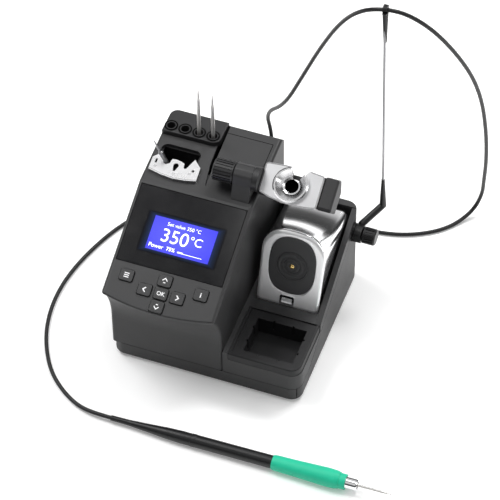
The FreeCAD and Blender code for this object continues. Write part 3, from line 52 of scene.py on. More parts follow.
MM = 0.001
HALF_DEPTH = 69.5
FOOT = 2.0
PANEL_ANGLE = math.radians(24.8)
SHELF_RISE = math.atan2(6.5, 67.2)
Colour = tuple[float, float, float]
Point = tuple[float, float, float]


def at(points: Union[np.ndarray, Sequence]) -> np.ndarray:
    """Turn station millimetres into frame metres.

    Args:
        points: one point or an array of points, in station millimetres.

    Returns:
        The same points in the frame, in metres.
    """
    return (np.asarray(points, float) + np.array([0.0, -HALF_DEPTH, FOOT])) * MM


# ---------------------------------------------------------------- shader building


def joined(operation: str, swapped: bool = False) -> Callable[["Value", object], "Value"]:
    """Return a method that joins two operands with one Math node.

    Args:
        operation: the Math node's operation.
        swapped: whether the other operand comes first.

    Returns:
        The method.
    """
    def apply(self: "Value", other: object) -> "Value":
        """Add the node."""
        return self._math(operation, *((other, self) if swapped else (self, other)))
    return apply


class Value:
    """A shader socket that takes part in Python arithmetic; each operation adds one Math node.

    above and below give one where the value is past the limit, otherwise zero.
    """

    def __init__(self, graph: "Graph", socket: bpy.types.NodeSocket) -> None:
        """Wrap one output socket of a graph."""
        self.graph = graph
        self.socket = socket

    def _math(self, operation: str, first: object, second: object = None) -> "Value":
        """Add a Math node for one or two operands and return its result."""
        values = {0: first} if second is None else {0: first, 1: second}
        return self.graph.node("ShaderNodeMath", {"operation": operation}, values).out()

    __add__ = __radd__ = joined("ADD")
    __sub__, __rsub__ = joined("SUBTRACT"), joined("SUBTRACT", True)
    __mul__ = __rmul__ = joined("MULTIPLY")
    __truediv__, __pow__ = joined("DIVIDE"), joined("POWER")
    above, below = joined("GREATER_THAN"), joined("LESS_THAN")

    def sine(self) -> "Value":
        """Sine of this value in radians."""
        return self._math("SINE", self)

    def size(self) -> "Value":
        """Absolute value."""
        return self._math("ABSOLUTE", self)


class Made:
    """A node that has been added to a graph."""

    def __init__(self, graph: "Graph", node: bpy.types.Node) -> None:
        """Keep the node and the graph that it is in."""
        self.graph = graph
        self.node = node

    def out(self, name: Union[int, str] = 0) -> Value:
        """Return one output socket, ready for arithmetic."""
        return Value(self.graph, self.node.outputs[name])


class Graph:
    """The node tree of one material, built from Python expressions."""

    def __init__(self, name: str) -> None:
        """Make a material with one Principled shader.

        Args:
            name: the finish's name.
        """
        self.material = bpy.data.materials.new(name)
        self.material.use_nodes = True
        self.tree = self.material.node_tree
        self.tree.nodes.clear()
        self.shader = self.node("ShaderNodeBsdfPrincipled")
        output = self.node("ShaderNodeOutputMaterial")
        self.tree.links.new(self.shader.node.outputs[0], output.node.inputs[0])
        self.place = self.node("ShaderNodeTexCoord").out("Object")

    def node(self, kind: str, settings: Optional[dict] = None, values: Optional[dict] = None) -> Made:
        """Add any node.

        Args:
            kind: the node's type.
            settings: properties that are set first; "stops" is a ramp's list of (place, grey or colour).
            values: numbers, vectors or sockets for its inputs, by name or number.

        Returns:
            The node that was made.
        """
        made = self.tree.nodes.new(kind)
        for key, setting in (settings or {}).items():
            if key == "stops":
                ramp = made.color_ramp
                while len(ramp.elements) < len(setting):
                    ramp.elements.new(0.5)
                for element, (place, shade) in zip(ramp.elements, setting):
                    element.position = place
                    rgb = (shade,) * 3 if isinstance(shade, (int, float)) else shade
                    element.color = (*rgb, 1.0)
            else:
                setattr(made, key, setting)
        for key, value in (values or {}).items():
            self._feed(made.inputs[key], value)
        return Made(self, made)

    def _feed(self, socket: bpy.types.NodeSocket, value: object) -> None:
        """Link a value to a socket, or set the socket's own number."""
        if isinstance(value, Value):
            self.tree.links.new(value.socket, socket)
        elif isinstance(value, (tuple, list)) and len(value) == 3 and socket.type == "RGBA":
            socket.default_value = (*value, 1.0)
        else:
            socket.default_value = value

    def set(self, **inputs: object) -> None:
        """Set the shader's inputs; an underscore in a name stands for a space."""
        for key, value in inputs.items():
            self._feed(self.shader.node.inputs[key.replace("_", " ")], value)

    def noise(self, size_mm: float, detail: float = 3.0, where: Optional[Value] = None,
              roughness: float = 0.5) -> Value:
        """Return smooth noise.

        Args:
            size_mm: size of its features.
            detail: number of finer layers.
            where: coordinates, or the object's own.
            roughness: weight of the finer layers.

        Returns:
            A value about one half.
        """
        return self.node("ShaderNodeTexNoise", {}, {
            "Vector": where or self.place, "Scale": 1000.0 / size_mm, "Detail": detail,
            "Roughness": roughness}).out(0)

    def mapped(self, centre: Sequence[float], turn: Sequence[float] = (0, 0, 0),
               scale: Sequence[float] = (1, 1, 1)) -> Value:
        """Return Object coordinates measured from a centre, turned and scaled.

        Args:
            centre: the new origin in the frame, in metres.
            turn: Euler angles of the new axes.
            scale: scales along the new axes.

        Returns:
            The new coordinates.
        """
        moved = self.node("ShaderNodeVectorMath", {"operation": "SUBTRACT"},
                          {0: self.place, 1: tuple(centre)}).out()
        turned = self.node("ShaderNodeMapping", {"vector_type": "TEXTURE"},
                           {"Vector": moved, "Rotation": tuple(turn)}).out()
        return self.node("ShaderNodeVectorMath", {"operation": "MULTIPLY"},
                         {0: turned, 1: tuple(scale)}).out()

    def parts(self, vector: Value) -> tuple[Value, Value, Value]:
        """Split a vector into its three numbers."""
        split = self.node("ShaderNodeSeparateXYZ", {}, {0: vector})
        return split.out(0), split.out(1), split.out(2)

    def ramp(self, value: Value, stops: Sequence) -> Value:
        """Colour a value by a list of (place, colour) stops."""
        return self.node("ShaderNodeValToRGB", {"stops": stops}, {0: value}).out(0)

    def blend(self, amount: object, first: object, second: object) -> Value:
        """Mix two colours by an amount."""
        return self.node("ShaderNodeMix", {"data_type": "RGBA"}, {0: amount, 6: first, 7: second}).out(2)

    def bump(self, height: Value, depth_mm: float, strength: float = 1.0) -> None:
        """Give the shader a bump normal.

        Args:
            height: the relief, from zero to one.
            depth_mm: depth of the relief.
            strength: share of the bump that is used.
        """
        normal = self.node("ShaderNodeBump", {}, {
            "Height": height, "Distance": depth_mm * MM, "Strength": strength}).out()
        self.set(Normal=normal)


# ---------------------------------------------------------------- finishes


@dataclass(frozen=True)
class Finish:
    """A named finish that makes its material once."""

    name: str
    colour: Colour
    roughness: float = 0.5

    def build(self) -> bpy.types.Material:
        """Return this finish's material, making it the first time."""
        known = bpy.data.materials.get(self.name)
        if known:
            return known
        graph = Graph(self.name)
        self.dress(graph)
        return graph.material

    def dress(self, graph: Graph) -> None:
        """Fill the graph; each kind of finish has its own way."""
        graph.set(Base_Color=self.colour, Roughness=self.roughness)

    def tinted(self, graph: Graph, spread: float, size_mm: float) -> Value:
        """Vary the colour softly over patches.

        Args:
            graph: the material's graph.
            spread: share of the colour that it varies by.
            size_mm: size of the patches.

        Returns:
            The varied colour.
        """
        low = tuple(c * (1 - spread) for c in self.colour)
        high = tuple(min(1.0, c * (1 + spread)) for c in self.colour)
        return graph.blend(graph.noise(size_mm, 4.0), low, high)


@dataclass(frozen=True)
class Moulded(Finish):
    """Moulded plastic with a spark-eroded grain."""

    grain_mm: float = 0.55
    depth_mm: float = 0.05
    coat: float = 0.0
    shine: float = 0.5

    def dress(self, graph: Graph) -> None:
        """Colour with soft patches, a fine grain in the bump, and a roughness that follows it."""
        grain = graph.noise(self.grain_mm, 2.0)
        worn = graph.noise(22.0, 5.0, roughness=0.65)
        graph.set(Base_Color=self.tinted(graph, 0.10, 9.0),
                  Roughness=worn * 0.14 + grain * 0.08 + (self.roughness - 0.11), Coat_Weight=self.coat,
                  Coat_Roughness=0.25, Specular_IOR_Level=self.shine)
        graph.bump(grain, self.depth_mm, 0.55)


@dataclass(frozen=True)
class Glossy(Finish):
    """Clear glossy plastic over a dark backing, with faint smudges."""

    def dress(self, graph: Graph) -> None:
        """A nearly even dark colour, with smudges in the roughness."""
        smudge = graph.noise(14.0, 6.0, roughness=0.7)
        graph.set(Base_Color=self.tinted(graph, 0.12, 30.0), Roughness=smudge * 0.10 + self.roughness,
                  Specular_IOR_Level=0.6)


@dataclass(frozen=True)
class Metal(Finish):
    """Bare or plated metal, with an optional brushing direction."""

    brushed: Point = (1.0, 1.0, 1.0)
    grain_mm: float = 1.6
    depth_mm: float = 0.01
    spread: float = 0.05

    def dress(self, graph: Graph) -> None:
        """Stretched noise gives the brushing; patches change the roughness like handling marks."""
        where = graph.mapped((0, 0, 0), scale=self.brushed)
        grain = graph.noise(self.grain_mm, 4.0, where)
        marks = graph.noise(12.0, 5.0, roughness=0.7)
        graph.set(Base_Color=graph.blend(grain, tuple(c * (1 - self.spread) for c in self.colour),
                                         self.colour),
                  Metallic=1.0, Roughness=marks * 0.08 + grain * 0.05 + self.roughness)
        graph.bump(grain, self.depth_mm, 0.5)


@dataclass(frozen=True)
class FrontedMetal(Metal):
    """Plated metal whose leaning front face is satin silver."""

    foot: Point = (0.0, 0.0, 0.0)
    lean: float = 0.0
    satin: float = 0.34
    depth: float = 1.3 * MM

    def dress(self, graph: Graph) -> None:
        """The distance behind the leaning front plane turns satin silver into bright plating."""
        _, _, behind = graph.parts(graph.mapped(self.foot, (self.lean, 0, 0)))
        front = (behind * -1.0).below(self.depth)
        marks = graph.noise(12.0, 5.0, roughness=0.7)
        graph.set(Base_Color=self.colour, Metallic=1.0 - front * 0.42,
                  Roughness=front * (self.satin - self.roughness) + marks * 0.05 + self.roughness)
        graph.bump(marks, self.depth_mm, 0.5)


@dataclass(frozen=True)
class Soft(Finish):
    """Rubber or soft-touch plastic: matte, slightly pebbled."""

    pebble_mm: float = 0.9
    depth_mm: float = 0.05
    sheen: float = 0.0

    def dress(self, graph: Graph) -> None:
        """Cell pebbles in the bump, and dust-like lighter patches in the colour."""
        pebble = graph.node("ShaderNodeTexVoronoi", {"feature": "SMOOTH_F1"}, {
            "Vector": graph.place, "Scale": 1000.0 / self.pebble_mm}).out(0)
        dust = graph.noise(16.0, 6.0, roughness=0.7)
        graph.set(Base_Color=graph.blend(dust, self.colour, tuple(c * 1.25 + 0.002 for c in self.colour)),
                  Roughness=dust * 0.16 + (self.roughness - 0.06), Sheen_Weight=self.sheen,
                  Sheen_Roughness=0.5, Specular_IOR_Level=0.35)
        graph.bump(pebble, self.depth_mm, 0.5)


@dataclass(frozen=True)
class Ringed(Finish):
    """Rubber membrane with concentric rings about an axis."""

    centre: Point = (0.0, 0.0, 0.0)
    lean: float = 0.0
    pitch_mm: float = 3.3
    inner_mm: float = 3.2
    outer_mm: float = 12.5

    def dress(self, graph: Graph) -> None:
        """Distance from the axis gives the rings: its sine is the height, kept between two radii; the colour
        is darkened along the rings and in the groove at the edge as painted shade.
        """
        where = graph.mapped(self.centre, (self.lean, 0, 0))
        across, up, _ = graph.parts(where)
        radius = (across * across + up * up) ** 0.5 * 1000.0
        inside = radius.above(self.inner_mm) * radius.below(self.outer_mm)
        rings = (radius * (2 * math.pi / self.pitch_mm)).sine() * 0.5 + 0.5
        grain = graph.noise(0.8, 2.0)
        rim = radius.above(self.outer_mm) * radius.below(self.outer_mm + 0.9)
        # Painted shade: the colour darkens with the ring relief and in the groove round the membrane's edge.
        shade = graph.blend(inside * rings * 0.6 + rim * 0.4, self.colour,
                            tuple(c * 0.45 for c in self.colour))
        graph.set(Base_Color=shade, Roughness=grain * 0.1 + self.roughness, Sheen_Weight=0.1)
        graph.bump(inside * rings * 1.6 + grain * 0.2 - rim * 1.2, 0.25, 0.8)


@dataclass(frozen=True)
class Backlit(Finish):
    """Lit screen: a bluish emission, brighter in the middle, with faint rows and columns of dots."""

    centre: Point = (0.0, 0.0, 0.0)
    strength: float = 1.0
    dot_mm: float = 0.32

    def dress(self, graph: Graph) -> None:
        """Distance from the centre darkens the glow; sines of the two directions draw the dot rows."""
        where = graph.mapped(self.centre, (PANEL_ANGLE, 0, 0))
        across, up, _ = graph.parts(where)
        far = (across * across * 900.0 + up * up * 2600.0) ** 0.5
        rows = ((across * (2000 * math.pi / self.dot_mm)).sine()
                * (up * (2000 * math.pi / self.dot_mm)).sine()) * 0.04
        glow = graph.ramp(far + rows, [(0.0, (0.090, 0.105, 1.0)), (0.55, (0.048, 0.052, 0.94)),
                                       (1.0, (0.020, 0.022, 0.70))])
        graph.set(Base_Color=tuple(c * 0.3 for c in self.colour), Roughness=self.roughness,
                  Emission_Color=glow, Emission_Strength=self.strength)


@dataclass(frozen=True)
class Halo(Finish):
    """Stray light of the screen under the window, fading outwards."""

    centre: Point = (0.0, 0.0, 0.0)
    half_wide: float = 0.03
    half_tall: float = 0.016

    def dress(self, graph: Graph) -> None:
        """The larger of the two distances, each as a share of its half size, fades the light out."""
        where = graph.mapped(self.centre, (PANEL_ANGLE, 0, 0))
        across, up, _ = graph.parts(where)
        wide = across.size() / self.half_wide
        tall = up.size() / self.half_tall
        far = graph.node("ShaderNodeMath", {"operation": "MAXIMUM"}, {0: wide, 1: tall}).out()
        glow = graph.ramp(far + graph.noise(6.0) * 0.04, [
            (0.0, (0.02, 0.03, 0.30)), (0.80, (0.012, 0.025, 0.13)), (0.90, (0.006, 0.014, 0.035)),
            (1.0, (0.0, 0.0, 0.0))])
        graph.set(Base_Color=self.colour, Roughness=self.roughness, Emission_Color=glow,
                  Emission_Strength=1.0)


@dataclass(frozen=True)
class Ink(Finish):
    """Printed or lit white marks."""

    lit: float = 0.0

    def dress(self, graph: Graph) -> None:
        """Slightly mottled print; a lit one also glows."""
        mottle = graph.noise(0.7, 3.0)
        graph.set(Base_Color=self.tinted(graph, 0.06, 2.0), Roughness=mottle * 0.1 + self.roughness,
                  Emission_Color=self.colour, Emission_Strength=self.lit)


@dataclass(frozen=True)
class Board(Finish):
    """Printed board with darker tracks under its solder mask."""

    def dress(self, graph: Graph) -> None:
        """Cell edges give the tracks; the mask is slightly glossy."""
        cells = graph.node("ShaderNodeTexVoronoi", {"feature": "DISTANCE_TO_EDGE"},
                           {"Vector": graph.place, "Scale": 260.0}).out(0)
        tracks = cells.below(0.09)
        graph.set(Base_Color=graph.blend(tracks, self.colour, tuple(c * 1.9 for c in self.colour)),
                  Roughness=graph.noise(3.0) * 0.1 + self.roughness)
        graph.bump(tracks, 0.04, 0.6)


@dataclass(frozen=True)
class Strands(Finish):
    """Curly metal shavings or windings."""

    curl_mm: float = 2.2
    shine: float = 1.0

    def dress(self, graph: Graph) -> None:
        """A wave bent by noise draws the strands in the bump, and darkens the colour between them as painted
        shade.
        """
        wave = graph.node("ShaderNodeTexWave", {"wave_type": "RINGS"}, {
            "Vector": graph.place, "Scale": 1000.0 / self.curl_mm / 3, "Distortion": 14.0,
            "Detail": 3.0, "Detail Scale": 2.0}).out(1)
        # Painted shade: the colour falls to a quarter in the gaps between the strands.
        graph.set(Base_Color=graph.blend(wave, tuple(c * 0.25 for c in self.colour), self.colour),
                  Metallic=self.shine, Roughness=wave * 0.15 + self.roughness)
        graph.bump(wave, 1.0, 1.0)


class Slot(Enum):
    """Material slots of the record."""

    HOUSING = "housing_dark"
    WINDOW = "window_gloss"
    SCREEN = "screen_blue"
    KEY = "key_dark"
    CHROME = "chrome_bright"
    BRASS = "brass"
    CORD = "cord_black"
    HANDLE = "handle_black"
    PLATE = "plate_steel"


HOUSING = Moulded("housing_plastic", (0.024, 0.024, 0.025), 0.46, 0.6, 0.06, 0.0, 0.4)
BASE = Moulded("base_plastic", (0.018, 0.018, 0.019), 0.46, 0.6, 0.06, 0.0, 0.4)
RACK = Moulded("rack_plastic", (0.018, 0.018, 0.019), 0.42, 0.6, 0.05, 0.0, 0.4)
KEY = Moulded("key_plastic", (0.021, 0.021, 0.022), 0.40, 0.5, 0.03, 0.0, 0.4)
DARK = Moulded("satin_black", (0.008, 0.008, 0.0085), 0.34, 0.7, 0.03, 0.0, 0.35)
TRAY = Moulded("tray_plastic", (0.012, 0.012, 0.013), 0.48, 0.6, 0.06, 0.0, 0.3)
IRON_STEEL = Metal("iron_tip_steel", (0.66, 0.65, 0.63), 0.2, (0.15, 1.0, 1.0), 0.6, 0.006)
# Near-black with almost no specular: used for dark seams, and as painted shade in the holder cone's bore.
HOLE = Moulded("deep_black", (0.0015, 0.0015, 0.0015), 0.9, 1.0, 0.03, 0.0, 0.05)
WINDOW = Glossy("window_clear", (0.006, 0.006, 0.007), 0.06)
CHROME = Metal("chrome_plate", (0.88, 0.88, 0.89), 0.035, grain_mm=3.0, depth_mm=0.002, spread=0.02)
SOFT_CHROME = Metal("soft_chrome", (0.92, 0.92, 0.93), 0.15, grain_mm=3.0, depth_mm=0.002, spread=0.03)
STEEL = Metal("satin_steel", (0.60, 0.60, 0.61), 0.30, (1.0, 0.08, 1.0), 0.5, 0.012)
BRIGHT_STEEL = Metal("bright_steel", (0.84, 0.84, 0.85), 0.22, (1.0, 0.2, 1.0), 0.5, 0.008)
ZINC = Metal("zinc_steel", (0.36, 0.36, 0.37), 0.3, grain_mm=1.0, depth_mm=0.02, spread=0.15)
TIP_STEEL = Metal("tip_steel", (0.97, 0.96, 0.94), 0.42, (1.0, 1.0, 0.15), 0.6, 0.006)
BRASS = Metal("brass_pins", (0.78, 0.56, 0.22), 0.18, grain_mm=1.0)
FINS = Metal("fin_aluminium", (0.62, 0.62, 0.64), 0.3, (1.0, 1.0, 0.1), 0.6, 0.02)
WOOL = Strands("brass_strands", (0.80, 0.55, 0.20), 0.22)
COIL = Strands("wound_copper", (0.42, 0.20, 0.06), 0.35, 1.0, 0.6)
GREEN_BOARD = Board("board_mask", (0.012, 0.11, 0.035), 0.3)
RUBBER = Soft("foot_rubber", (0.018, 0.018, 0.018), 0.75)
CORD_SKIN = Soft("cord_skin", (0.006, 0.006, 0.0065), 0.38, 1.4, 0.03)
GRIP = Soft("grip_foam", (0.008, 0.44, 0.26), 0.5, 0.9, 0.06, 0.05)
PRINT = Ink("key_print", (0.88, 0.88, 0.89), 0.5, 0.0)
READOUT = Ink("readout_light", (0.86, 0.90, 1.0), 0.5, 1.0)


# ---------------------------------------------------------------- meshes


def new_mesh(name: str, points: np.ndarray, faces: Sequence[Sequence[int]], smooth: bool = True
             ) -> bpy.types.Object:
    """Make an object at the origin from points in frame metres.

    Args:
        name: the piece's name.
        points: vertices, one row each.
        faces: vertex numbers of each face.
        smooth: whether faces are shaded smoothly.

    Returns:
        The new object, linked to the scene.
    """
    mesh = bpy.data.meshes.new(name)
    mesh.from_pydata(np.asarray(points, float), [], [tuple(map(int, face)) for face in faces])
    mesh.validate()
    mesh.polygons.foreach_set("use_smooth", np.full(len(mesh.polygons), smooth))
    mesh.update()
    piece = bpy.data.objects.new(name, mesh)
    bpy.context.scene.collection.objects.link(piece)
    return piece


def grid_faces(rows: int, columns: int, wrap: bool = False) -> list[tuple[int, int, int, int]]:
    """Return the faces of a grid of points in row order.

    Each face joins a point to its right, diagonal and upper neighbours.

    Args:
        rows: number of rows.
        columns: points in a row.
        wrap: whether the last column joins the first.

    Returns:
        Four vertex numbers for each face.
    """
    step = columns if wrap else columns - 1
    row, column = np.meshgrid(np.arange(rows - 1), np.arange(step), indexing="ij")
    after = (column + 1) % columns
    corners = np.stack([row * columns + column, row * columns + after,
                        (row + 1) * columns + after, (row + 1) * columns + column], axis=-1)
    return [tuple(face) for face in corners.reshape(-1, 4).tolist()]


def point_outwards(piece: bpy.types.Object) -> None:
    """Recalculate a mesh's normals, so that its faces point outwards."""
    mesh = bmesh.new()
    mesh.from_mesh(piece.data)
    bmesh.ops.remove_doubles(mesh, verts=mesh.verts, dist=1e-6)
    bmesh.ops.recalc_face_normals(mesh, faces=mesh.faces)
    mesh.to_mesh(piece.data)
    mesh.free()


def finish_piece(piece: bpy.types.Object, body: str, finish: Finish,
                 replaces: Sequence[str] = ()) -> bpy.types.Object:
    """Dress a new piece and let it ride on a body.

    Args:
        piece: the piece, at the origin.
        body: the body that it moves with.
        finish: its finish.
        replaces: CAD nodes that it stands for.

    Returns:
        The same piece.
    """
    piece.data.materials.clear()
    piece.data.materials.append(finish.build())
    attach(piece, body)
    if replaces:
        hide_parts(*replaces)
    LOG.info("%s rides on %s", piece.name, body)
    return piece


def dress_nodes(finishes: dict[str, Finish]) -> None:
    """Give CAD nodes their finishes through their material slots."""
    for node, finish in finishes.items():
        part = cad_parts[node]
        if not part.data.materials:
            part.data.materials.append(finish.build())
        for place in part.material_slots:
            place.material = finish.build()
        LOG.info("%s dressed in %s", node, finish.name)


@dataclass(frozen=True)
class Panel:
    """A flat face that pieces are laid on: an origin, a direction up the face and its slope."""

    origin: Point
    slope: float

    def lay(self, x: np.ndarray, v: np.ndarray, lift: np.ndarray) -> np.ndarray:
        """Turn face coordinates into frame metres.

        The point is the origin, plus v along the slope (cosine in y and sine in z), plus the lift along the
        normal (minus sine in y and cosine in z).

        Args:
            x: places across, in station millimetres.
            v: places up the slope, in millimetres.
            lift: heights off the face, in millimetres.

        Returns:
            The points, one row each.
        """
        x, v, lift = np.broadcast_arrays(x, v, lift)
        y = self.origin[1] + v * math.cos(self.slope) - lift * math.sin(self.slope)
        z = self.origin[2] + v * math.sin(self.slope) + lift * math.cos(self.slope)
        return at(np.stack([self.origin[0] + x, y, z], axis=-1).reshape(-1, 3))


FRONT = Panel((0.0, -20.6, 84.1), PANEL_ANGLE)


def stroke_mesh(name: str, panel: Panel, lines: Sequence[Sequence[tuple[float, float]]], wide: float,
                lift: float, thick: float = 0.12) -> bpy.types.Object:
    """Make flat strokes with a rectangular section along lines on a panel.

    Each corner is moved half a width along its mitre on both sides, and the ribbon is closed to a thin
    plate: the upper ring at the lift, the lower ring a thickness below.

    Args:
        name: the piece's name.
        panel: the face that it lies on.
        lines: open lines of (x, v) points, in millimetres.
        wide: stroke width.
        lift: height of the top off the face.
        thick: thickness.

    Returns:
        The new object.
    """
    points, faces = [], []
    for line in lines:
        run = np.asarray(line, float)
        step = np.diff(run, axis=0)
        step /= np.linalg.norm(step, axis=1)[:, None]
        side = np.stack([-step[:, 1], step[:, 0]], axis=1)
        mitre = np.vstack([side[:1], side[1:] + side[:-1], side[-1:]])
        mitre /= np.linalg.norm(mitre, axis=1)[:, None]
        stretch = np.ones(len(run))
        stretch[1:-1] = 1 / np.clip((mitre[1:-1] * side[1:]).sum(axis=1), 0.4, 1)
        left = run + mitre * stretch[:, None] * wide / 2
        right = run - mitre * stretch[:, None] * wide / 2
        ring = np.vstack([left, right[::-1]])
        count, start = len(ring), len(points)
        for height in (lift - thick, lift):
            points.extend(panel.lay(ring[:, 0], ring[:, 1], np.full(count, height)).tolist())
        corner, edge = np.arange(len(run) - 1), np.arange(count)
        after = (edge + 1) % count
        upper = start + count + np.stack([corner, count - 1 - corner, count - 2 - corner, corner + 1], axis=1)
        walls = start + np.stack([edge, count + edge, count + after, after], axis=1)
        faces.extend(np.vstack([upper, upper[:, ::-1] - count, walls]).tolist())
    return new_mesh(name, np.array(points), faces, smooth=False)


def text_mesh(name: str, panel: Panel, words: str, size: float, x: float, v: float, lift: float,
              bold: float = 0.0, align: str = "CENTER") -> bpy.types.Object:
    """Make flat generic lettering on a panel.

    Args:
        name: the piece's name.
        panel: the face that it lies on.
        words: the text.
        size: letter size in millimetres.
        x: place across.
        v: place of the baseline up the slope.
        lift: height of the letters' top off the face.
        bold: extra stroke weight in millimetres.
        align: LEFT, CENTER or RIGHT.

    Returns:
        The new mesh object, with its place in its mesh.
    """
    curve = bpy.data.curves.new(name + "_line", "FONT")
    curve.body, curve.size, curve.align_x = words, size, align
    curve.offset, curve.extrude = bold, 0.06
    holder = bpy.data.objects.new(name + "_line", curve)
    bpy.context.scene.collection.objects.link(holder)
    bpy.context.view_layer.update()
    seen = holder.evaluated_get(bpy.context.evaluated_depsgraph_get())
    mesh = bpy.data.meshes.new_from_object(seen)
    flat = np.zeros(len(mesh.vertices) * 3)
    mesh.vertices.foreach_get("co", flat)
    flat = flat.reshape(-1, 3)
    placed = panel.lay(flat[:, 0] + x, flat[:, 1] + v, flat[:, 2] - 0.06 + lift)
    mesh.vertices.foreach_set("co", placed.ravel())
    mesh.update()
    bpy.data.objects.remove(holder)
    bpy.data.curves.remove(curve)
    mesh.name = name
    piece = bpy.data.objects.new(name, mesh)
    bpy.context.scene.collection.objects.link(piece)
    return piece


def join(name: str, pieces: Sequence[bpy.types.Object]) -> bpy.types.Object:
    """Join pieces at the origin into one object.

    Args:
        name: the new piece's name.
        pieces: the pieces, which are removed.

    Returns:
        The new object.
    """
    points, faces, start = [], [], 0
    for piece in pieces:
        flat = np.zeros(len(piece.data.vertices) * 3)
        piece.data.vertices.foreach_get("co", flat)
        points.append(flat.reshape(-1, 3))
        faces.extend([[start + index for index in face.vertices] for face in piece.data.polygons])
        start += len(points[-1])
        bpy.data.objects.remove(piece)
    return new_mesh(name, np.vstack(points), faces, smooth=False)


# ---------------------------------------------------------------- studio


@dataclass
class Studio:
    """Camera, lights and floor."""

    azimuth: float = 20.27
    elevation: float = 49.36
    roll: float = -0.59
    target: Point = (0.00395, 0.02035, 0.052)
    distance: float = 2.32226
    lens: float = 219.64
    floor_half: float = 6.0
    floor_drop: float = 0.0002
    sky: float = 0.85
    sky_greys: tuple[tuple[float, float], ...] = (
        (0.0, 0.26), (0.10, 0.05), (0.42, 0.10), (0.62, 0.75), (0.85, 0.80), (0.96, 0.14))

    def camera(self) -> None:
        """Place the camera: it looks along the view direction at the target from a distance."""
        a, e, r = (math.radians(angle) for angle in (self.azimuth, self.elevation, self.roll))
        right = np.array([math.cos(a), math.sin(a), 0.0])
        up = np.array([-math.sin(a) * math.sin(e), math.cos(a) * math.sin(e), math.cos(e)])
        ahead = np.cross(up, right)
        rolled = right * math.cos(r) + up * math.sin(r)
        risen = up * math.cos(r) - right * math.sin(r)
        eye = np.array(self.target) - ahead * self.distance
        data = bpy.data.cameras.new("view")
        data.lens, data.sensor_width, data.clip_end = self.lens, 36.0, 50.0
        bpy.context.scene.camera = self.hang("view", data, (rolled, risen, -ahead, eye))

    def hang(self, name: str, data: bpy.types.ID, columns: Sequence[np.ndarray]) -> bpy.types.Object:
        """Link a camera or a light.

        Args:
            name: its name.
            data: its camera or light data.
            columns: its right, up and back directions and its place.

        Returns:
            The new object.
        """
        turn = np.eye(4)
        turn[:3] = np.column_stack(columns)
        holder = bpy.data.objects.new(name, data)
        holder.matrix_world = Matrix(turn.tolist())
        bpy.context.scene.collection.objects.link(holder)
        return holder

    def light(self, name: str, place: Point, aim: Point, wide: float, watts: float,
              tall: Optional[float] = None) -> None:
        """Add a soft area light.

        Args:
            name: the light's name.
            place: its middle, in metres.
            aim: the point that it faces.
            wide: its width.
            watts: its power.
            tall: its height, or none for a square.
        """
        data = bpy.data.lights.new(name, "AREA")
        data.shape, data.size, data.size_y, data.energy = "RECTANGLE", wide, tall or wide, watts
        back = np.array(place, float) - np.array(aim, float)
        back /= np.linalg.norm(back)
        side = np.cross([0.0, 0.0, 1.0], back)
        side /= np.linalg.norm(side)
        self.hang(name, data, (side, np.cross(back, side), back, np.array(place, float)))

    def world(self) -> None:
        """A pale world with a dim band above the horizon, which gives the chrome its dark reflections.

        The height of a direction runs through a ramp: dim near the horizon, pale higher up and softer
        again straight overhead.
        """
        world = bpy.data.worlds.new("studio")
        world.use_nodes = True
        bpy.context.scene.world = world
        tree = world.node_tree
        back = tree.nodes.get("Background")
        where = tree.nodes.new("ShaderNodeTexCoord")
        split = tree.nodes.new("ShaderNodeSeparateXYZ")
        ramp = tree.nodes.new("ShaderNodeValToRGB")
        tree.links.new(where.outputs["Generated"], split.inputs[0])
        tree.links.new(split.outputs[2], ramp.inputs[0])
        tree.links.new(ramp.outputs[0], back.inputs[0])
        while len(ramp.color_ramp.elements) < len(self.sky_greys):
            ramp.color_ramp.elements.new(0.5)
        for element, (place, grey) in zip(ramp.color_ramp.elements, self.sky_greys):
            element.position, element.color = place, (grey, grey, grey, 1.0)
        back.inputs[1].default_value = self.sky

    def floor(self) -> None:
        """A plain white floor just under the feet."""
        sides = self.floor_half * np.array([(-1, -1), (1, -1), (1, 1), (-1, 1)])
        corners = np.column_stack([sides, np.full(4, -self.floor_drop)])
        piece = new_mesh("studio_floor", corners, [(0, 1, 2, 3)], smooth=False)
        graph = Graph("studio_white")
        graph.set(Base_Color=(0.93, 0.93, 0.93), Roughness=0.9, Specular_IOR_Level=0.0,
                  Emission_Color=(1.0, 1.0, 1.0), Emission_Strength=0.16)
        piece.data.materials.append(graph.material)

    def build(self) -> None:
        """Set up everything that isn't part of the object."""
        bpy.context.scene.view_settings.view_transform = "Standard"
        self.camera()
        self.world()
        self.floor()
        self.light("key_light", (-1.25, 0.1, 2.1), (0, 0, 0.05), 1.1, 34)
        self.light("top_light", (0.5, 1.2, 2.0), (0, 0, 0.05), 1.0, 26, 0.6)
        self.light("side_light", (1.9, -0.1, 0.9), (0, 0, 0.05), 0.4, 6, 1.2)
        self.light("window_light", (0.0, 0.02, 1.95), (0, 0, 0.1), 0.85, 4.5)


# ---------------------------------------------------------------- the cord


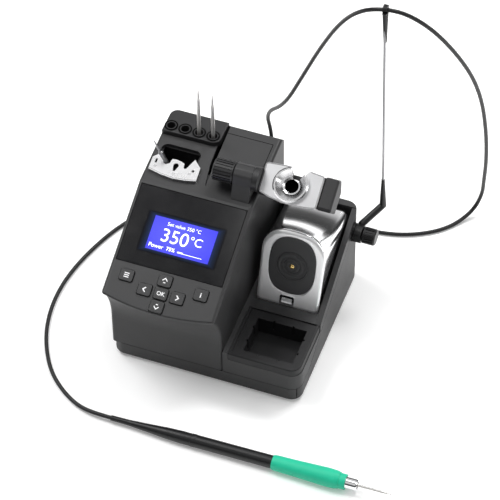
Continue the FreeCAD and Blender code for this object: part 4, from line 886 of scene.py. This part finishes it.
@dataclass
class IronCord:
    """The cord from the rear plug over the arm's clip, round the station, to the iron."""

    diameter_mm: float = 3.1
    length_mm: float = 1169.0

    def route(self) -> np.ndarray:
        """Return the chosen points, in frame metres."""
        return at([
            (-16, 178.7, 40), (-16, 197, 40), (-21, 209, 52), (-25, 207, 76), (-3, 188, 110),
            (15, 178.5, 158), (33, 166, 207), (53, 149.5, 255), (71, 139, 283), (90, 136.3, 293),
            (107, 141.5, 287.6), (126.5, 153, 263), (144, 176, 211), (150.5, 194, 164),
            (152.5, 207, 115), (151.5, 218, 72), (148.5, 227, 38), (147, 231.5, 18), (142.5, 226, 3.5),
            (133.7, 211.5, -0.4), (123, 199.5, -0.4), (109, 190.5, -0.4), (94.5, 184.6, -0.4),
            (80, 181.6, -0.4), (58, 179.5, -0.4), (28, 177.5, -0.4), (-12, 174, -0.4),
            (-52, 166.5, -0.4), (-85, 153.5, -0.4), (-105, 137, -0.4), (-117, 118, -0.4),
            (-126, 96, -0.4), (-133, 72, -0.4), (-136.5, 49, -0.4), (-136, 26, -0.4),
            (-131.5, 4, -0.4), (-123, -16.5, -0.4), (-111.5, -34.5, -0.4), (-97.5, -47.5, -0.4),
            (-82, -57, -0.4), (-66.998, -61.6, 1.888), (-52, -61.6, 2.15),
        ])

    def build(self) -> bpy.types.Object:
        """Make the cord as one smooth spline with a round section."""
        points = self.route()
        curve = bpy.data.curves.new("iron_cord", "CURVE")
        curve.dimensions = "3D"
        spline = curve.splines.new("NURBS")
        spline.points.add(len(points) - 1)
        spline.points.foreach_set("co", np.hstack([points, np.ones((len(points), 1))]).ravel())
        spline.order_u = 3
        spline.use_endpoint_u = True
        spline.resolution_u = 12
        curve.bevel_depth = self.diameter_mm * MM / 2
        curve.bevel_resolution = 6
        curve.use_fill_caps = True
        piece = bpy.data.objects.new("iron_cord", curve)
        bpy.context.scene.collection.objects.link(piece)
        finish_piece(piece, "station", CORD_SKIN, ["cord_upper", "cord_lower"])
        return piece


# ---------------------------------------------------------------- sub-assemblies


@dataclass
class Console:
    """Housing with its display and keys."""

    glow_x: float = -29.3
    glow_low: float = 47.6
    glow_wide: float = 49.3
    glow_tall: float = 26.2
    key_x: float = -31.0
    key_v: float = 16.8
    pitch_x: float = 12.9
    pitch_v: float = 10.2
    side_x: float = 29.2
    side_v: float = 23.8
    key_rise: float = 1.3
    halo_lift: float = 0.04
    picture_lift: float = 0.08
    readout_lift: float = 0.16
    halo_beyond: tuple[float, float] = (12.5, 6.0)
    mark_wide: float = 1.0

    def dress(self) -> None:
        """Finish the CAD nodes of the console."""
        dress_nodes({
            "console_housing": HOUSING, "base_tray": BASE, "rubber_feet": RUBBER, "base_screws": ZINC,
            "display_window": WINDOW, "screen_module": DARK, "rear_panel": BASE, "mains_inlet": DARK,
            "inlet_pins": BRASS, "switch_frame": DARK, "switch_rocker": DARK, "ground_jack": BRASS,
            "tool_socket": ZINC, "fuse_cap": DARK, "tool_plug": ZINC, "tool_plug_relief": CORD_SKIN,
            "main_board": GREEN_BOARD, "board_parts": DARK, "transformer": COIL,
            "transformer_bolt": ZINC, "heat_sink": FINS,
        })
        dress_nodes({key: KEY for key in ("key_menu", "key_info", "key_up", "key_down", "key_left",
                                          "key_ok", "key_right")})

    def screen(self) -> None:
        """Lay the lit picture, its edge and its readout on the window.

        The picture is a grid of points over the lit area, a tenth of a millimetre above the window.
        """
        rows, columns = 14, 24
        u, v = np.meshgrid(np.linspace(-0.5, 0.5, columns), np.linspace(0, 1, rows))
        points = FRONT.lay(self.glow_x + u * self.glow_wide, self.glow_low + v * self.glow_tall,
                           np.full(u.shape, self.picture_lift))
        picture = new_mesh("screen_picture", points, grid_faces(rows, columns), smooth=False)
        middle = FRONT.lay(np.array(self.glow_x), np.array(self.glow_low + self.glow_tall * 0.5),
                           np.array(self.picture_lift))[0]
        lit = Backlit("screen_light", (0.02, 0.02, 0.5), 0.25, tuple(middle), 1.05)
        finish_piece(picture, "station", lit)
        x0, x1 = self.glow_x - self.glow_wide / 2, self.glow_x + self.glow_wide / 2
        v0, v1 = self.glow_low, self.glow_low + self.glow_tall
        wide, tall = self.glow_wide + self.halo_beyond[0], self.glow_tall + self.halo_beyond[1]
        points = FRONT.lay(self.glow_x + u * wide, self.glow_low - self.halo_beyond[1] / 2 + v * tall,
                           np.full(u.shape, self.halo_lift))
        halo = new_mesh("screen_halo", points, grid_faces(rows, columns), smooth=False)
        stray = Halo("screen_stray_light", (0.004, 0.004, 0.006), 0.07, tuple(middle), wide * MM / 2,
                     tall * MM / 2)
        finish_piece(halo, "station", stray)
        lift = self.readout_lift
        words = [("Set value 350 °C", 3.9, self.glow_x - 0.6, v1 - 5.4, 0.0, "CENTER"),
                 ("350", 14.6, self.glow_x - 5.2, v0 + 8.2, 0.0, "CENTER"),
                 ("°C", 9.2, self.glow_x + 11.3, v0 + 10.6, 0.0, "CENTER"),
                 ("Power", 4.4, x0 + 1.6, v0 + 2.2, 0.02, "LEFT"),
                 ("75%", 4.0, x0 + 15.6, v0 + 2.2, 0.06, "LEFT")]
        texts = [text_mesh("words", FRONT, text, size, x, v, lift, bold, align)
                 for text, size, x, v, bold, align in words]
        bar = stroke_mesh("low_bar", FRONT, [[(x0 + 24.5, v0 + 2.6), (x1 - 5.6, v0 + 2.6)],
                                             [(x0 + 24.5, v0 + 3.3), (x0 + 29, v0 + 3.3)]], 0.4, lift)
        readout = join("screen_readout", [*texts, bar])
        finish_piece(readout, "station", READOUT)

    def chevron(self, turn: int, x: float, v: float) -> list[tuple[float, float]]:
        """Return an arrow head.

        Args:
            turn: quarter turns from pointing right.
            x: its middle across the panel.
            v: its middle up the panel.

        Returns:
            Three points, in panel millimetres.
        """
        angle = turn * math.pi / 2
        shape = np.array([(-0.9, 1.9), (1.05, 0.0), (-0.9, -1.9)])
        spin = np.array([(math.cos(angle), math.sin(angle)), (-math.sin(angle), math.cos(angle))])
        return [(x + px, v + pv) for px, pv in shape @ spin]

    def marks(self) -> None:
        """Print the key marks: arrows, lines, and plain letters."""
        lift = self.key_rise + 0.05
        arrows = {"key_right": (0, self.key_x + self.pitch_x, self.key_v),
                  "key_up": (1, self.key_x, self.key_v + self.pitch_v),
                  "key_left": (2, self.key_x - self.pitch_x, self.key_v),
                  "key_down": (3, self.key_x, self.key_v - self.pitch_v)}
        for key, (turn, x, v) in arrows.items():
            up = {1: 1.0, 3: -1.0}.get(turn, 0.0)
            lines = [self.chevron(turn, x, v + 0.9 * up)]
            if up:
                lines.append([(x - 0.85, v - 1.5 * up), (x + 0.85, v - 1.5 * up)])
            mark = stroke_mesh(key + "_mark", FRONT, lines, self.mark_wide * (0.72 if up else 0.85), lift)
            finish_piece(mark, key, PRINT)
        left = self.key_x - self.side_x
        lines = [[(left - 1.9, self.side_v + dv), (left + 1.9, self.side_v + dv)] for dv in (-1.5, 0, 1.5)]
        finish_piece(stroke_mesh("key_menu_mark", FRONT, lines, 0.7, lift), "key_menu", PRINT)
        ok = text_mesh("key_ok_mark", FRONT, "OK", 4.3, self.key_x, self.key_v - 1.5, lift, 0.08)
        finish_piece(ok, "key_ok", PRINT)
        letter = text_mesh("key_info_mark", FRONT, "i", 5.2, self.key_x + self.side_x,
                           self.side_v - 1.9, lift, 0.12)
        finish_piece(letter, "key_info", PRINT)

    def seams(self) -> None:
        """Draw the window's dark border and the lid's seam along the rear and right edges of the shelf."""
        low, high, left, right = 33.75, 94.95, -72.25, 11.25
        border = [[(left, low), (right, low), (right, high), (left, high), (left, low + 0.05)]]
        finish_piece(stroke_mesh("window_border", FRONT, border, 0.55, 0.05), "station", HOLE)
        shelf = Panel((0.0, 67.8, 124.947), SHELF_RISE)
        lid = [[(-27.5, 60.6), (9.2, 60.6), (9.2, 30.0)]]
        finish_piece(stroke_mesh("lid_seam", shelf, lid, 0.45, 0.05), "station", HOLE)

    def build(self) -> None:
        """Build the console's looks."""
        self.dress()
        self.seams()
        self.screen()
        self.marks()


@dataclass
class Storage:
    """Cartridge rack, extractor and spill tray."""

    first_x: float = -68.8
    pitch: float = 11.17
    rack_y: float = 119.0
    rim_z: float = 133.93
    ring_radius: float = 4.6
    ring_half: float = 0.55
    ring_points: int = 48
    sleeves: int = 4
    shelf_y: float = 76.0
    plate_x: float = -54.0
    plate_z: float = 126.89

    def rings(self) -> bpy.types.Object:
        """Draw the dark seam round each sleeve as four thin flat rings.

        Each ring is a grid of an inner and an outer circle about its sleeve's axis.
        """
        count = self.ring_points
        turn = np.linspace(0, 2 * math.pi, count, endpoint=False)
        points, faces = [], []
        for number in range(self.sleeves):
            centre = self.first_x + number * self.pitch
            rows = [np.stack([centre + r * np.cos(turn), self.rack_y + r * np.sin(turn),
                              np.full(count, self.rim_z)], axis=-1)
                    for r in (self.ring_radius - self.ring_half, self.ring_radius + self.ring_half)]
            faces.extend((np.array(grid_faces(2, count, wrap=True)) + number * 2 * count).tolist())
            points.extend(rows)
        piece = new_mesh("sleeve_seams", at(np.vstack(points)), faces, smooth=False)
        point_outwards(piece)
        return finish_piece(piece, "station", HOLE)

    def plate_marks(self) -> None:
        """Draw the extractor plate's folded lower lip and its small engraved lines."""
        face = Panel((self.plate_x, self.shelf_y, self.plate_z), SHELF_RISE)
        lip = [[(-17.2, 2.0), (-7.2, -0.25), (2.8, -1.3), (11.9, -0.45), (20.4, 1.6)]]
        finish_piece(stroke_mesh("plate_fold", face, lip, 0.34, 1.56), "station", ZINC)
        marks = [[(-14.6, 4.6), (-12.4, 4.2)], [(-14.4, 5.6), (-12.2, 5.2)], [(1.0, 1.6), (3.4, 1.6)],
                 [(1.0, 2.6), (3.4, 2.6)], [(12.6, 4.6), (14.8, 4.9)], [(12.6, 5.6), (14.8, 5.9)]]
        finish_piece(stroke_mesh("plate_engraving", face, marks, 0.3, 1.55), "station", ZINC)

    def build(self) -> None:
        """Finish the CAD nodes that hold and store cartridges."""
        self.rings()
        self.plate_marks()
        dress_nodes({
            "cartridge_rack": RACK, "rack_sleeves": RACK, "cartridge_a": TIP_STEEL,
            "cartridge_b": TIP_STEEL, "extractor_cup": DARK, "extractor_plate": BRIGHT_STEEL,
            "spare_cartridge": ZINC, "spill_tray": TRAY,
        })


@dataclass
class Cleaner:
    """Stand housing with the cleaner hood, its membrane and the brass wool."""

    hood_y: float = 58.5
    deck: float = 35.5
    lean_deg: float = 17.0
    centre_x: float = 45.2
    centre_v: float = 36.4
    bead_radius: float = 1.9
    middle_x: float = 44.55
    half_wide: float = 24.95
    top: float = 98.0
    rear_y: float = 129.4
    rear_top: float = 77.0
    sag: float = 5.0
    edge: float = 2.2
    front_corner: float = 14.0
    rear_corner: float = 5.5
    crown: float = 3.8
    wall: float = 1.2
    squareness: float = 2.7
    hole_wide: float = 36.7
    hole_tall: float = 49.2

    def face(self) -> Panel:
        """Return the hood's leaning front face."""
        return Panel((0.0, self.hood_y, self.deck), math.radians(90 - self.lean_deg))

    def bead(self) -> bpy.types.Object:
        """Make the small brass eyelet in the membrane's middle.

        It is a dome turned about the face's normal: the radius follows a cosine and the height a sine.
        """
        rows, columns = 7, 24
        rise, around = np.meshgrid(np.linspace(0, math.pi / 2, rows),
                                   np.linspace(0, 2 * math.pi, columns, endpoint=False), indexing="ij")
        radius = self.bead_radius * np.cos(rise)
        points = self.face().lay(self.centre_x + radius * np.cos(around),
                                 self.centre_v + radius * np.sin(around),
                                 1.0 + 0.8 * np.sin(rise))
        piece = new_mesh("membrane_eyelet", points, grid_faces(rows, columns, wrap=True))
        return finish_piece(piece, "hood", BRASS)

    def outline(self, inset: float, radius: float, top: float, crown: float
                ) -> tuple[np.ndarray, np.ndarray]:
        """Return the hood's arch as x and z from its lower left, over the top, to its lower right.

        The sides are straight, each corner is a quarter circle, and the top is straight; the points above
        the corners' start are then raised by a parabola, highest in the middle.

        Args:
            inset: how far the arch is drawn in all round.
            radius: corner radius.
            top: height of the top's middle.
            crown: height of the middle over the corners.

        Returns:
            x from the hood's middle and z, in station millimetres.
        """
        half = self.half_wide - inset
        shoulder = top - inset - crown
        turn = np.linspace(0, math.pi / 2, 15)
        side = np.linspace(self.deck, shoulder - radius, 16)[:-1]
        flat = np.linspace(radius - half, half - radius, 18)[1:-1]
        x = np.concatenate([np.full(15, -half), radius - half - radius * np.cos(turn), flat,
                            half - radius + radius * np.sin(turn), np.full(15, half)])
        z = np.concatenate([side, shoulder - radius + radius * np.sin(turn), np.full(16, shoulder),
                            shoulder - radius + radius * np.cos(turn), side[::-1]])
        lift = np.clip((z - (shoulder - radius)) / radius, 0, 1)
        return x, z + crown * (1 - (x / half) ** 2) * lift

    def hood(self) -> bpy.types.Object:
        """Make the chrome hood as one skin.

        The front is a ring of points between the membrane's opening and the arch drawn in by the edge
        radius. The edge follows a quarter circle: the inset falls with the sine and the depth grows with
        one minus the cosine. From there the arch runs to the rear: its top falls along a chord, less a
        parabola of the sag, and its corners tighten. A last step gives the skin its thickness.
        """
        lean = math.tan(math.radians(self.lean_deg))
        middle = self.middle_x
        rings = []
        for share in np.linspace(0, math.pi / 2, 7):
            x, z = self.outline(self.edge * (1 - math.sin(share)), self.front_corner, self.top,
                                self.crown)
            y = self.hood_y + (z - self.deck) * lean + self.edge * (1 - math.cos(share))
            rings.append(np.stack([x + middle, y, z], axis=-1))
        front_y = rings[-1][:, 1]
        for share in np.linspace(0, 1, 27)[1:]:
            top = self.top + (self.rear_top - self.top) * share - 4 * self.sag * share * (1 - share)
            radius = self.rear_corner + (self.front_corner - self.rear_corner) * (1 - share) ** 2.2
            x, z = self.outline(0.0, radius, top, self.crown * (1 - share) ** 2 + 0.4)
            y = front_y + (self.rear_y - front_y) * share
            rings.append(np.stack([x + middle, y, z], axis=-1))
        wrap = np.vstack(rings)
        count = len(rings[0])
        faces = grid_faces(len(rings), count)
        first = rings[0]
        bottom_x = np.linspace(first[-1, 0], first[0, 0], 22)[1:-1]
        bottom = np.stack([bottom_x, np.full(20, self.hood_y), np.full(20, self.deck)], axis=-1)
        outer = np.vstack([first, bottom])
        rise = (outer[:, 2] - self.deck) / math.cos(math.radians(self.lean_deg))
        angle = np.arctan2(rise - self.centre_v, outer[:, 0] - self.centre_x)
        bend = 2 / self.squareness
        hole_x = np.sign(np.cos(angle)) * np.abs(np.cos(angle)) ** bend * self.hole_wide / 2
        hole_v = np.sign(np.sin(angle)) * np.abs(np.sin(angle)) ** bend * self.hole_tall / 2
        flat_x, flat_v = outer[:, 0], rise
        steps = [wrap]
        for share in np.linspace(0, 1, 9)[1:]:
            x = flat_x + (self.centre_x + hole_x - flat_x) * share
            v = flat_v + (self.centre_v + hole_v - flat_v) * share
            z = self.deck + v * math.cos(math.radians(self.lean_deg))
            steps.append(np.stack([x, self.hood_y + (z - self.deck) * lean, z], axis=-1))
        steps.append(bottom)
        start = len(wrap)
        around = len(outer)
        total = start + 8 * around
        rim = np.concatenate([np.arange(count), total + np.arange(20)])
        ring_ids = [rim] + [start + step * around + np.arange(around) for step in range(8)]
        for low, high in zip(ring_ids, ring_ids[1:]):
            quads = np.stack([low, high, np.roll(high, -1), np.roll(low, -1)], axis=-1)
            faces.extend(tuple(quad) for quad in quads.tolist())
        piece = new_mesh("hood_chrome_skin", at(np.vstack(steps)), faces)
        point_outwards(piece)
        wall = piece.modifiers.new("wall", "SOLIDIFY")
        wall.thickness, wall.offset = self.wall * MM, -1.0
        foot = self.face().lay(np.array(0.0), np.array(0.0), np.array(0.0))[0]
        skin = FrontedMetal("hood_chrome", (0.92, 0.92, 0.93), 0.12, depth_mm=0.002, foot=tuple(foot),
                            lean=math.radians(90 - self.lean_deg))
        return finish_piece(piece, "hood", skin, ["cleaning_hood"])

    def build(self) -> None:
        """Finish the nodes and add the hood and the eyelet."""
        centre = self.face().lay(np.array(self.centre_x), np.array(self.centre_v), np.array(0.0))[0]
        membrane = Ringed("membrane_rubber", (0.030, 0.030, 0.032), 0.55, tuple(centre),
                          math.radians(90 - self.lean_deg))
        dress_nodes({
            "stand_housing": HOUSING, "wool_membrane": membrane,
            "tip_wiper": CHROME, "wool_cup": DARK, "brass_wool": WOOL,
        })
        self.hood()
        self.bead()


@dataclass
class Holder:
    """Tool holder with its ear, shaft, cone and knob."""

    cone_x: float = 38.0
    holder_y: float = 86.0
    holder_z: float = 140.35
    tilt_deg: float = 30.7

    def face(self) -> Panel:
        """Return the top face of the holder's plate."""
        return Panel((0.0, self.holder_y, self.holder_z), math.radians(self.tilt_deg))

    def bore_shade(self) -> bpy.types.Object:
        """Line the cone's bore with a near-black sheet, painted shade of the hole, closed by a floor at its
        lower end.

        Rings of a constant radius step down the bore, turn over a quarter circle, and shrink to the middle.
        """
        face = self.face()
        radius = np.array([5.15, 5.1, 5.1, 5.1, 4.9, 4.2, 3.0, 1.5, 0.05])
        depth = np.array([-3.15, -3.4, -5.5, -8.0, -9.2, -9.8, -10.1, -10.3, -10.3])
        around = np.linspace(0, 2 * math.pi, 40, endpoint=False)
        ring, turn = np.meshgrid(radius, around, indexing="ij")
        height = np.repeat(depth[:, None], 40, axis=1)
        points = face.lay(self.cone_x + ring * np.cos(turn), ring * np.sin(turn), height)
        piece = new_mesh("cone_bore_shade", points, grid_faces(len(radius), 40, wrap=True))
        # The near-black sheet is painted shade inside the cone's bore.
        return finish_piece(piece, "holder", HOLE)

    def plate_rim(self) -> None:
        """Lay a polished line along the plate's outer edge, on both sides of the open notch."""
        face = self.face()
        x = self.cone_x
        line = [[(x + 11.6, 13.3), (x + 21.6, 12.3), (x + 22.3, 11.4), (x + 22.3, -11.7), (x + 21.0, -12.3),
                 (x + 15.0, -13.3), (x + 6.0, -13.8), (x - 4.0, -13.5), (x - 14.0, -11.9),
                 (x - 21.3, -9.4), (x - 22.2, -8.4), (x - 22.2, 11.4), (x - 21.2, 12.2), (x - 8.0, 13.3),
                 (x - 2.8, 13.3)]]
        finish_piece(stroke_mesh("plate_edge_line", face, line, 0.8, 0.07), "holder", CHROME)

    def build(self) -> None:
        """Finish the CAD nodes of the holder and line its cone's bore with painted shade."""
        self.bore_shade()
        self.plate_rim()
        dress_nodes({
            "holder_ear": HOUSING, "holder_shaft": ZINC, "holder_cone": SOFT_CHROME, "holder_plate": STEEL,
            "holder_body": RACK, "holder_knob": RACK,
        })


@dataclass
class CableArm:
    """Arm that carries the cord above the bench."""

    def build(self) -> None:
        """Finish the CAD nodes of the arm."""
        dress_nodes({"arm_stud": DARK, "cable_arm": DARK, "arm_rod": ZINC, "cable_clip": DARK,
                     "arm_knob": DARK})


@dataclass
class Iron:
    """The soldering iron lying in front."""

    def build(self) -> None:
        """Finish the CAD nodes of the iron."""
        dress_nodes({"iron_strain_relief": CORD_SKIN, "iron_handle": DARK, "iron_grip": GRIP,
                     "iron_nose": CHROME, "iron_cartridge": IRON_STEEL})


def main() -> None:
    """Build the studio, the cord and each sub-assembly."""
    logging.basicConfig(level=logging.INFO, format="%(name)s: %(message)s")
    Studio().build()
    LOG.info("studio ready")
    IronCord().build()
    for part in (Console(), Storage(), Cleaner(), Holder(), CableArm(), Iron()):
        part.build()
        LOG.info("%s finished", type(part).__name__)


if __name__ == "__main__":
    main()
